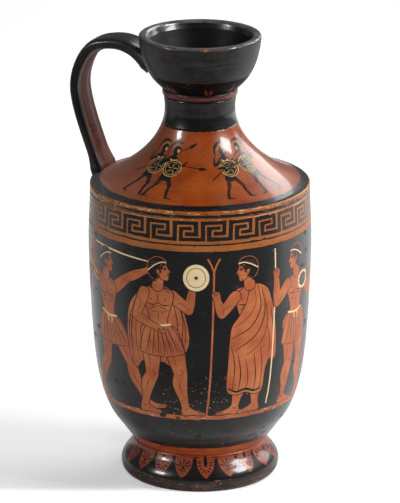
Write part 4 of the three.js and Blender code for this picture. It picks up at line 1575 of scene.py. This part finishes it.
@dataclass
class Neck:
    """The short neck, black, and the reserved ring of clay on its joint with the mouth."""

    sizes: Sizes
    top_radius: float = 19.9
    ring_radius: float = 20.6
    ring_ends: Point = (19.6, 19.9)
    foot_spigot: float = 6.0
    head_spigot: float = 7.4

    def build(self, palette: Palette) -> None:
        """Make the neck and its ring.

        Args:
            palette: The materials.
        """
        size = self.sizes
        low, high, ring_top, spigot = size.neck_joint, size.collar_bottom, size.mouth_bottom, size.spigot
        sweep = size.sweep(60)
        sweep = sweep[sweep[:, 1] > low + 0.3]
        top = sweep[-1]
        rise, radius = (top[0], (top[1] * 2 + high) / 3), self.top_radius
        flare = bezier([top, rise, (radius, high - 1.5), (radius, high)], 6)
        head, foot = high + self.head_spigot, low - self.foot_spigot
        hidden = [(radius, high), (spigot, high), (spigot, head), (size.bore, head), (size.bore, foot)]
        hidden = np.array(hidden + [(spigot, foot), (spigot, low), size.joint()])
        # From 207.8 mm up, the neck takes the greyer rubbed slip; its grey paints the pale reflection on the
        # upper flare, and its roughness is its own.
        bands = ((207.8, Paint.GLOSS), (215.6, Paint.WORN_GLOSS), (high, Paint.GLOSS))
        outer = np.vstack([size.joint(), sweep, flare[1:]])
        neck = TurnedWall("thrown_neck", outer, hidden, bands, Paint.GLOSS, 0.25)
        settle(neck.build(palette), "gloss", "neck")

        radius, (first, last) = self.ring_radius, self.ring_ends
        corners = [(first, high, 0), (radius, high + 0.1, 0.9), (radius, ring_top - 0.1, 0.9)]
        outer = softened(corners + [(last, ring_top, 0)], 6)
        hidden = np.array([outer[-1], (size.socket, ring_top), (size.socket, high), outer[0]])
        bands = ((217.5, Paint.WORN_GLOSS), (219.2, Paint.RING), (ring_top, Paint.WORN_GLOSS))
        ring = TurnedWall("reserved_ring", outer, hidden, bands, Paint.CLAY, 0.2)
        ring.wear(Paint.WORN_GLOSS, 40, (217.0, 220.2), (0.3, 2.2), (0.15, 0.6), 41)
        ring.wear(Paint.CLAY, 40, (217.6, 219.8), (0.3, 1.8), (0.1, 0.5), 42)
        settle(ring.build(palette), "clay", "neck_collar")


@dataclass
class Mouth:
    """The cup-shaped mouth, black inside and out, worn along its lip."""

    sizes: Sizes
    radius: float = 33.4
    foot_radius: float = 20.3
    lip_width: float = 4.4
    lip_round: float = 1.8
    cup_depth: float = 23.5
    socket_depth: float = 3.9
    streak_bottom: float = 221.2

    def profile(self) -> tuple[np.ndarray, np.ndarray]:
        """Work out the mouth's profile.

        Returns:
            The outer rows and the hidden rows.
        """
        size = self.sizes
        top, bottom, rim, foot = size.lip, size.mouth_bottom, self.radius, self.foot_radius
        inner, floor, over = rim - self.lip_width, top - self.cup_depth, (rim - self.lip_round, top)
        side, edge = (rim, top - self.lip_round), (inner - 0.5, top - self.lip_round)
        wall = bezier([(foot, bottom), (foot + 7.2, bottom + 5.5), (rim - 1.2, side[1] - 14.3), side], 22)
        lip = softened([(*side, 0), (rim, top, 1.7), (*over, 0)], 6)
        turn_in = softened([(*over, 0), (inner + 0.2, top, 1.4), (*edge, 0)], 6)
        lean = (inner - 2.9, floor + 16.4), (inner - 7.2, floor + 8.4)
        slope = bezier([edge, *lean, (inner - 10.4, floor + 2.9)], 16)
        turn = softened([(*slope[-1], 0), (inner - 12.4, floor, 2.6), (size.bore, floor, 0)], 5)
        roof = bottom + self.socket_depth
        end = [(size.bore, roof), (size.socket, roof), (size.socket, bottom), (foot, bottom)]
        return np.vstack([wall, lip[1:-1]]), np.vstack([lip[-2:-1], turn_in, slope[1:], turn[1:], end])

    def build(self, palette: Palette) -> None:
        """Make the mouth with the red streaks at its root.

        Args:
            palette: The materials.
        """
        outer, hidden = self.profile()
        # The cup's inside and the band up to 229.4 mm under its flare take the darker inner slip, painted
        # shade in those hollows.
        bands = ((229.4, Paint.INNER), (249.1, Paint.WORN_GLOSS), (outer[-1, 1], Paint.RIM))
        coats = ((8, Paint.RIM), (11, Paint.GLOSS))
        wall = TurnedWall("mouth_cup", outer, hidden, bands, Paint.INNER, 0.22, coats)
        hand = np.random.default_rng(5)
        for angle in (-112, -104, -58, -52, -20, 35, 80, 130):
            brush, lean = wall.brush(angle, self.streak_bottom), hand.uniform(-1.2, 1.2)
            brush.stroke([(0, 0), (lean * 0.4, 3), (lean, hand.uniform(5, 8))], [1.9, 1.4, 0.6], Paint.DILUTE)
            brush.stroke([(0.2, 0), (lean * 0.4, 2.4), (lean, 4.2)], [0.9, 0.7, 0.3], Paint.CLAY)
        wall.wear(Paint.WORN_GLOSS, 110, (249.2, 249.9), (0.6, 3.2), (0.2, 0.5), 31)
        wall.wear(Paint.DILUTE, 60, (249.0, 249.9), (0.6, 2.6), (0.15, 0.4), 36)
        wall.wear(Paint.CLAY, 34, (249.1, 249.9), (0.3, 1.6), (0.1, 0.35), 32)
        wall.wear(Paint.KEY, 4, (248.6, 249.8), (0.5, 1.3), (0.3, 0.8), 33, (-68, -60))
        wall.wear(Paint.DILUTE, 30, (222, 230), (0.2, 0.9), (0.1, 0.4), 34)
        wall.wear(Paint.DILUTE, 70, (230, 248), (0.1, 0.4), (0.1, 0.3), 35)
        settle(wall.build(palette), "gloss", "mouth")


@dataclass
class StrapHandle:
    """The pulled strap handle, black outside and washed brown inside, with the clay that luts it on.

    The clay at a root lies on some of the strap's rings, and it thins along the strap over so many more.
    """

    sizes: Sizes
    width_top: float = 19.0
    width_foot: float = 20.5
    thick_top: float = 7.2
    thick_foot: float = 5.2
    rings: int = 150
    sides: int = 48
    upper_root: tuple[int, int] = (3, 22)
    lower_root: tuple[int, int] = (127, 148)
    upper_clay: float = 1.5
    lower_clay: float = 1.3
    thinning: int = 13

    def line(self) -> np.ndarray:
        """Return the middle line of the strap, evenly spaced rows of reach from the axis and height."""
        lip, foot = self.sizes.lip, (self.sizes.shoulder - 4.2, self.sizes.edge_top - 5)
        crest = [(23.3, lip - 20.5), (41.1, lip - 10.0), (52.1, lip - 9.2), (62.9, lip - 13.2)]
        path = through(crest + [(71.6, lip - 33.6), foot], 40)
        far = run(path)
        share = np.linspace(0, far[-1], self.rings + 1)
        return np.stack([np.interp(share, far, path[:, k]) for k in (0, 1)], axis=1)

    def section(self, share: np.ndarray, turn: np.ndarray, more: np.ndarray) -> tuple[np.ndarray, np.ndarray]:
        """Work out the strap's section: a rounded rectangle with a low ridge along its inner face.

        With a turn w the half width is a power of the cosine and the half thickness the same power of the
        sine, and the ridge adds a bell round the middle of the inner side.

        Args:
            share: Shares of the strap's length, down a column.
            turn: Turns round the section, along a row.
            more: What is added to every side at each share, down a column.

        Returns:
            How far each point lies across the strap and how far out of its middle.
        """
        corner, ridge_rise, hollow, bell = 0.55, 0.7, 0.35, 2.2
        width = self.width_top + (self.width_foot - self.width_top) * share
        thick = self.thick_top + (self.thick_foot - self.thick_top) * share
        c, s = np.cos(turn), np.sin(turn)
        across = np.sign(c) * np.abs(c) ** corner * (width / 2 + more)
        out = np.sign(s) * np.abs(s) ** corner * (thick / 2 + more)
        beside = (np.abs(across) - 5) / bell
        ridge = ridge_rise * np.exp(-((across / bell) ** 2)) - hollow * np.exp(-(beside**2))
        return across, np.where(s < 0, out - ridge * (thick / 5), out)

    def paints(self, ring: np.ndarray, turn: np.ndarray, palette: Palette) -> np.ndarray:
        """Choose the paint of each patch of the strap.

        Black outside, a brown wash on the inner face that goes red below a ragged edge, and red chips
        scattered over the inner corners of the upper half.

        Args:
            ring: Numbers of the rings, down a column.
            turn: Turns round the section, along a row.
            palette: The materials.

        Returns:
            The slot numbers, a row for each ring.
        """
        wash, root, strap = (palette.number(paint) for paint in (Paint.WASH, Paint.ROOT, Paint.STRAP))
        faces_in = np.sin(turn) < -0.35
        inner = faces_in & (np.abs(np.cos(turn)) < 0.68)
        bare_from = np.random.default_rng(3).integers(84, 130, self.sides)
        grain = np.random.default_rng(5).integers(-8, 9, (len(ring), self.sides))
        slot = np.where(inner, np.where(ring + grain > bare_from, root, wash), strap)
        chips = np.random.default_rng(4).random((2, *slot.shape)) < 0.42
        return np.where(chips & faces_in & ~inner & (ring < 74), root, slot).ravel()

    def tube(self, name: str, first: int, last: int, more: np.ndarray, palette: Palette) -> bpy.types.Object:
        """Carry the section along part of the line and close its ends.

        Args:
            name: The piece's name.
            first: The first ring of the line that it takes.
            last: The first ring that it leaves.
            more: What is added to its sides at every ring of the line.
            palette: The materials.

        Returns:
            The finished piece.
        """
        keep = slice(first, last)
        line = self.line()
        along = unit(np.gradient(line, axis=0))
        up, line = np.c_[-along[:, 1], along[:, 0]][keep], line[keep]
        share = np.linspace(0, 1, self.rings + 1)[keep, None]
        turn = np.linspace(0, 2 * np.pi, self.sides, endpoint=False)[None]
        across, out = self.section(share, turn, more[keep, None])
        grid = np.stack([-(line[:, :1] + up[:, :1] * out), across, line[:, 1:] + up[:, 1:] * out], axis=-1)
        number = np.arange(len(line) * self.sides).reshape(-1, self.sides)
        a, b = number[:-1], np.roll(number[:-1], -1, axis=1)
        d, c = number[1:], np.roll(number[1:], -1, axis=1)
        walls = np.concatenate([np.stack([a, d, b], -1), np.stack([b, d, c], -1)]).reshape(-1, 3)
        low, high, top = number[0], number[-1], np.full(self.sides, number.size)
        caps = [np.stack([top, low, np.roll(low, -1)], -1), np.stack([top + 1, np.roll(high, -1), high], -1)]
        round_it = np.roll(grid, -1, axis=1) - np.roll(grid, 1, axis=1)
        normal = unit(np.cross(np.gradient(grid, axis=0), round_it).reshape(-1, 3))
        ring = np.arange(self.rings + 1)[keep][:-1, None]
        slots = np.r_[self.paints(ring, turn, palette), np.full(2 * self.sides, palette.number(Paint.STRAP))]
        co = np.vstack([grid.reshape(-1, 3), grid[0].mean(0), grid[-1].mean(0)])
        return piece(name, co, np.vstack([walls, *caps]), slots, np.vstack([normal, normal[:2]]), palette)

    def build(self, palette: Palette) -> None:
        """Make the strap and the clay at its two roots, which thins with the square of the way along it.

        Args:
            palette: The materials.
        """
        ring = np.arange(self.rings + 1)
        plain = np.zeros(len(ring))
        upper = self.upper_clay * np.clip((self.upper_root[1] - 1 - ring) / self.thinning, 0, 1) ** 2
        lower = self.lower_clay * np.clip((ring - self.lower_root[0]) / self.thinning, 0, 1) ** 2
        settle(self.tube("strap_handle", 0, len(ring), plain, palette), "gloss", "handle")
        settle(self.tube("upper_root_clay", *self.upper_root, upper, palette), "gloss", "handle_upper_pad")
        settle(self.tube("lower_root_clay", *self.lower_root, lower, palette), "gloss", "handle_lower_pad")


# The studio


@dataclass(frozen=True)
class SoftBox:
    """A rectangular studio lamp, placed as the camera sees it.

    Attributes:
        name: The lamp's name.
        turn: Its direction round the jar from the camera's side, to the right, in degrees.
        lift: Its direction above the floor, in degrees.
        distance: Its distance in metres.
        size: Its width and height in metres.
        power: Its power in watts.
        mirrored: Whether it shows in reflections.
        spread: Whether it lights dull surfaces.
    """

    name: str
    turn: float
    lift: float
    distance: float
    size: Point
    power: float
    mirrored: bool = True
    spread: bool = True


@dataclass
class Studio:
    """A pale floor, a white surround, soft boxes and the camera of the photograph.

    Attributes:
        camera_turn: The camera's direction round the jar, to the right of -Y, in degrees.
        camera_distance: How far it stands from the jar's axis, in metres.
        camera_height: Its height.
        aim_height: The height that it looks at.
        lens: Its focal length in mm.
        floor_size: The floor's side.
        apron: Where the dark begins and ends that the jar mirrors in front of it, and how dark it gets.
        lift_fall: Where the floor's own white, as the camera sees it, begins and ends to fall.
        floor_lift: How white it is before and after.
        white_from: Where the floor begins and ends to go fully white, in front of the foot.
        dark_side: Direction in which the surround is darkest, as a lamp's turn and lift.
        dark_fall: Where it begins and ends to darken along that direction, from -1 to 1, and its light
            before and after.
        mirror_gain: How much brighter the surround is in reflections.
        boxes: The lamps.
    """

    camera_turn: float = 23.0
    camera_distance: float = 2.1753
    camera_height: float = 0.82016
    aim_height: float = 0.12603
    lens: float = 296.4
    floor_size: float = 12.0
    apron: tuple[float, float, float] = (-0.02, 0.15, 0.84)
    lift_fall: Point = (-0.06, 0.025)
    floor_lift: Point = (0.43, 0.345)
    white_from: Point = (0.034, 0.05)
    dark_side: Point = (-25, 8)
    dark_fall: tuple[float, float, float, float] = (-0.3, 0.6, 1.0, 0.14)
    mirror_gain: float = 1.4
    boxes: tuple[SoftBox, ...] = (
        SoftBox("left_box", -64, 25, 1.6, (0.34, 0.3), 9.0, spread=False),
        SoftBox("right_box", 76, 36, 1.8, (0.75, 0.5), 22.0),
        SoftBox("window_behind", 135, 28, 2.2, (1.6, 1.3), 26.0),
        SoftBox("front_fill", -14, 44, 2.2, (1.3, 1.0), 16.0, mirrored=False),
    )

    def toward(self, turn: float, lift: float, distance: float = 1.0) -> Vector:
        """Return a step at an angle from the camera's side and above the floor."""
        angle, lift = np.radians(self.camera_turn + turn), np.radians(lift)
        flat = distance * np.cos(lift)
        return Vector((flat * np.sin(angle), -flat * np.cos(angle), distance * np.sin(lift)))

    def build(self) -> None:
        """Make the camera, the lamps, the floor and the surround."""
        self.camera()
        for box in self.boxes:
            self.lamp(box)
        self.floor()
        self.surround()

    def stand(self, name: str, data: bpy.types.ID, place: Vector, aim: Vector) -> bpy.types.Object:
        """Put a camera or a lamp at a place and turn it to what it points at.

        Args:
            name: Its name.
            data: Its camera or light.
            place: Where it goes.
            aim: What it points at.

        Returns:
            The object.
        """
        made = bpy.data.objects.new(name, data)
        bpy.context.scene.collection.objects.link(made)
        made.location = place
        made.rotation_euler = (aim - made.location).to_track_quat("-Z", "Y").to_euler()
        return made

    def camera(self) -> None:
        """Place the camera where the photograph was taken from."""
        data = bpy.data.cameras.new("camera")
        data.lens = self.lens
        place = self.toward(0, 0, self.camera_distance) + Vector((0, 0, self.camera_height))
        bpy.context.scene.camera = self.stand("camera", data, place, Vector((0, 0, self.aim_height)))

    def lamp(self, box: SoftBox) -> None:
        """Place one soft box.

        Args:
            box: The soft box.
        """
        light = bpy.data.lights.new(box.name, "AREA")
        light.shape, light.energy = "RECTANGLE", box.power
        light.size, light.size_y = box.size
        place = JAR_MIDDLE + self.toward(box.turn, box.lift, box.distance)
        made = self.stand(box.name, light, place, JAR_MIDDLE)
        made.visible_glossy, made.visible_diffuse = box.mirrored, box.spread

    def floor(self) -> None:
        """Lay a plain floor of pale paper that the jar mirrors darker and the camera sees whiter."""
        half = self.floor_size / 2
        mesh = bpy.data.meshes.new("floor")
        corners = [(-half, -half, 0), (half, -half, 0), (half, half, 0), (-half, half, 0)]
        mesh.from_pydata(corners, [], [(0, 1, 2, 3)])
        made = bpy.data.objects.new("floor", mesh)
        bpy.context.scene.collection.objects.link(made)
        paper = bpy.data.materials.new("studio_paper")
        paper.use_nodes = True
        tree = paper.node_tree
        path = node(tree, "LightPath", {})
        place = node(tree, "TexCoord", {}).outputs["Object"]
        ahead = {"operation": "DOT_PRODUCT", 0: place, 1: self.toward(0, 0)}
        ahead = node(tree, "VectorMath", ahead).outputs["Value"]
        start, end, dark = self.apron
        shade = node(tree, "MapRange", {"Value": ahead, **span(start, end, 0.0, dark)})
        share = node(tree, "Math", {"operation": "MULTIPLY", 0: shade, 1: path.outputs["Is Glossy Ray"]})
        pale = {"data_type": "RGBA", 0: share, 6: linear("#f4f4f4"), 7: (0, 0, 0, 1)}
        plain = node(tree, "MapRange", {"Value": ahead, **span(*self.lift_fall, *self.floor_lift)})
        lift = node(tree, "MapRange", {"Value": ahead, **span(*self.white_from, plain)})
        seen = node(tree, "Math", {"operation": "MULTIPLY", 0: path.outputs["Is Camera Ray"], 1: lift})
        shader = tree.nodes["Principled BSDF"]
        wire(shader, {"Base Color": node(tree, "Mix", pale).outputs[2], "Roughness": 0.9})
        wire(shader, {"Emission Color": (1, 1, 1, 1), "Emission Strength": seen})
        mesh.materials.append(paper)

    def surround(self) -> None:
        """Light the jar from a white surround that is darker on the camera's side."""
        world = bpy.data.worlds.new("surround")
        bpy.context.scene.world = world
        world.use_nodes = True
        tree = world.node_tree
        place = node(tree, "TexCoord", {}).outputs["Generated"]
        facing = {"operation": "DOT_PRODUCT", 0: place, 1: self.toward(*self.dark_side)}
        facing = node(tree, "VectorMath", facing).outputs["Value"]
        shade = node(tree, "MapRange", {"Value": facing, **span(*self.dark_fall)})
        path = node(tree, "LightPath", {})
        seen, mirrored = path.outputs["Is Camera Ray"], path.outputs["Is Glossy Ray"]
        gain = node(tree, "Math", {"operation": "MULTIPLY_ADD", 0: mirrored, 1: self.mirror_gain, 2: 1.0})
        level = node(tree, "Math", {"operation": "MULTIPLY", 0: shade, 1: gain})
        final = node(tree, "Math", {"operation": "MAXIMUM", 0: level, 1: seen})
        wire(tree.nodes["Background"], {"Strength": final})


def main() -> None:
    """Build the jar and the studio."""
    logging.basicConfig(level=logging.INFO, format="%(name)s: %(message)s")
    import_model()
    bpy.context.scene.view_settings.view_transform = "Standard"
    palette, sizes = Palette(), Sizes()
    for part in (Foot(sizes), Body(sizes), Shoulder(sizes), Neck(sizes), Mouth(sizes), StrapHandle(sizes)):
        part.build(palette)
    Studio().build()
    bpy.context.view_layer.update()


if __name__ == "__main__":
    main()
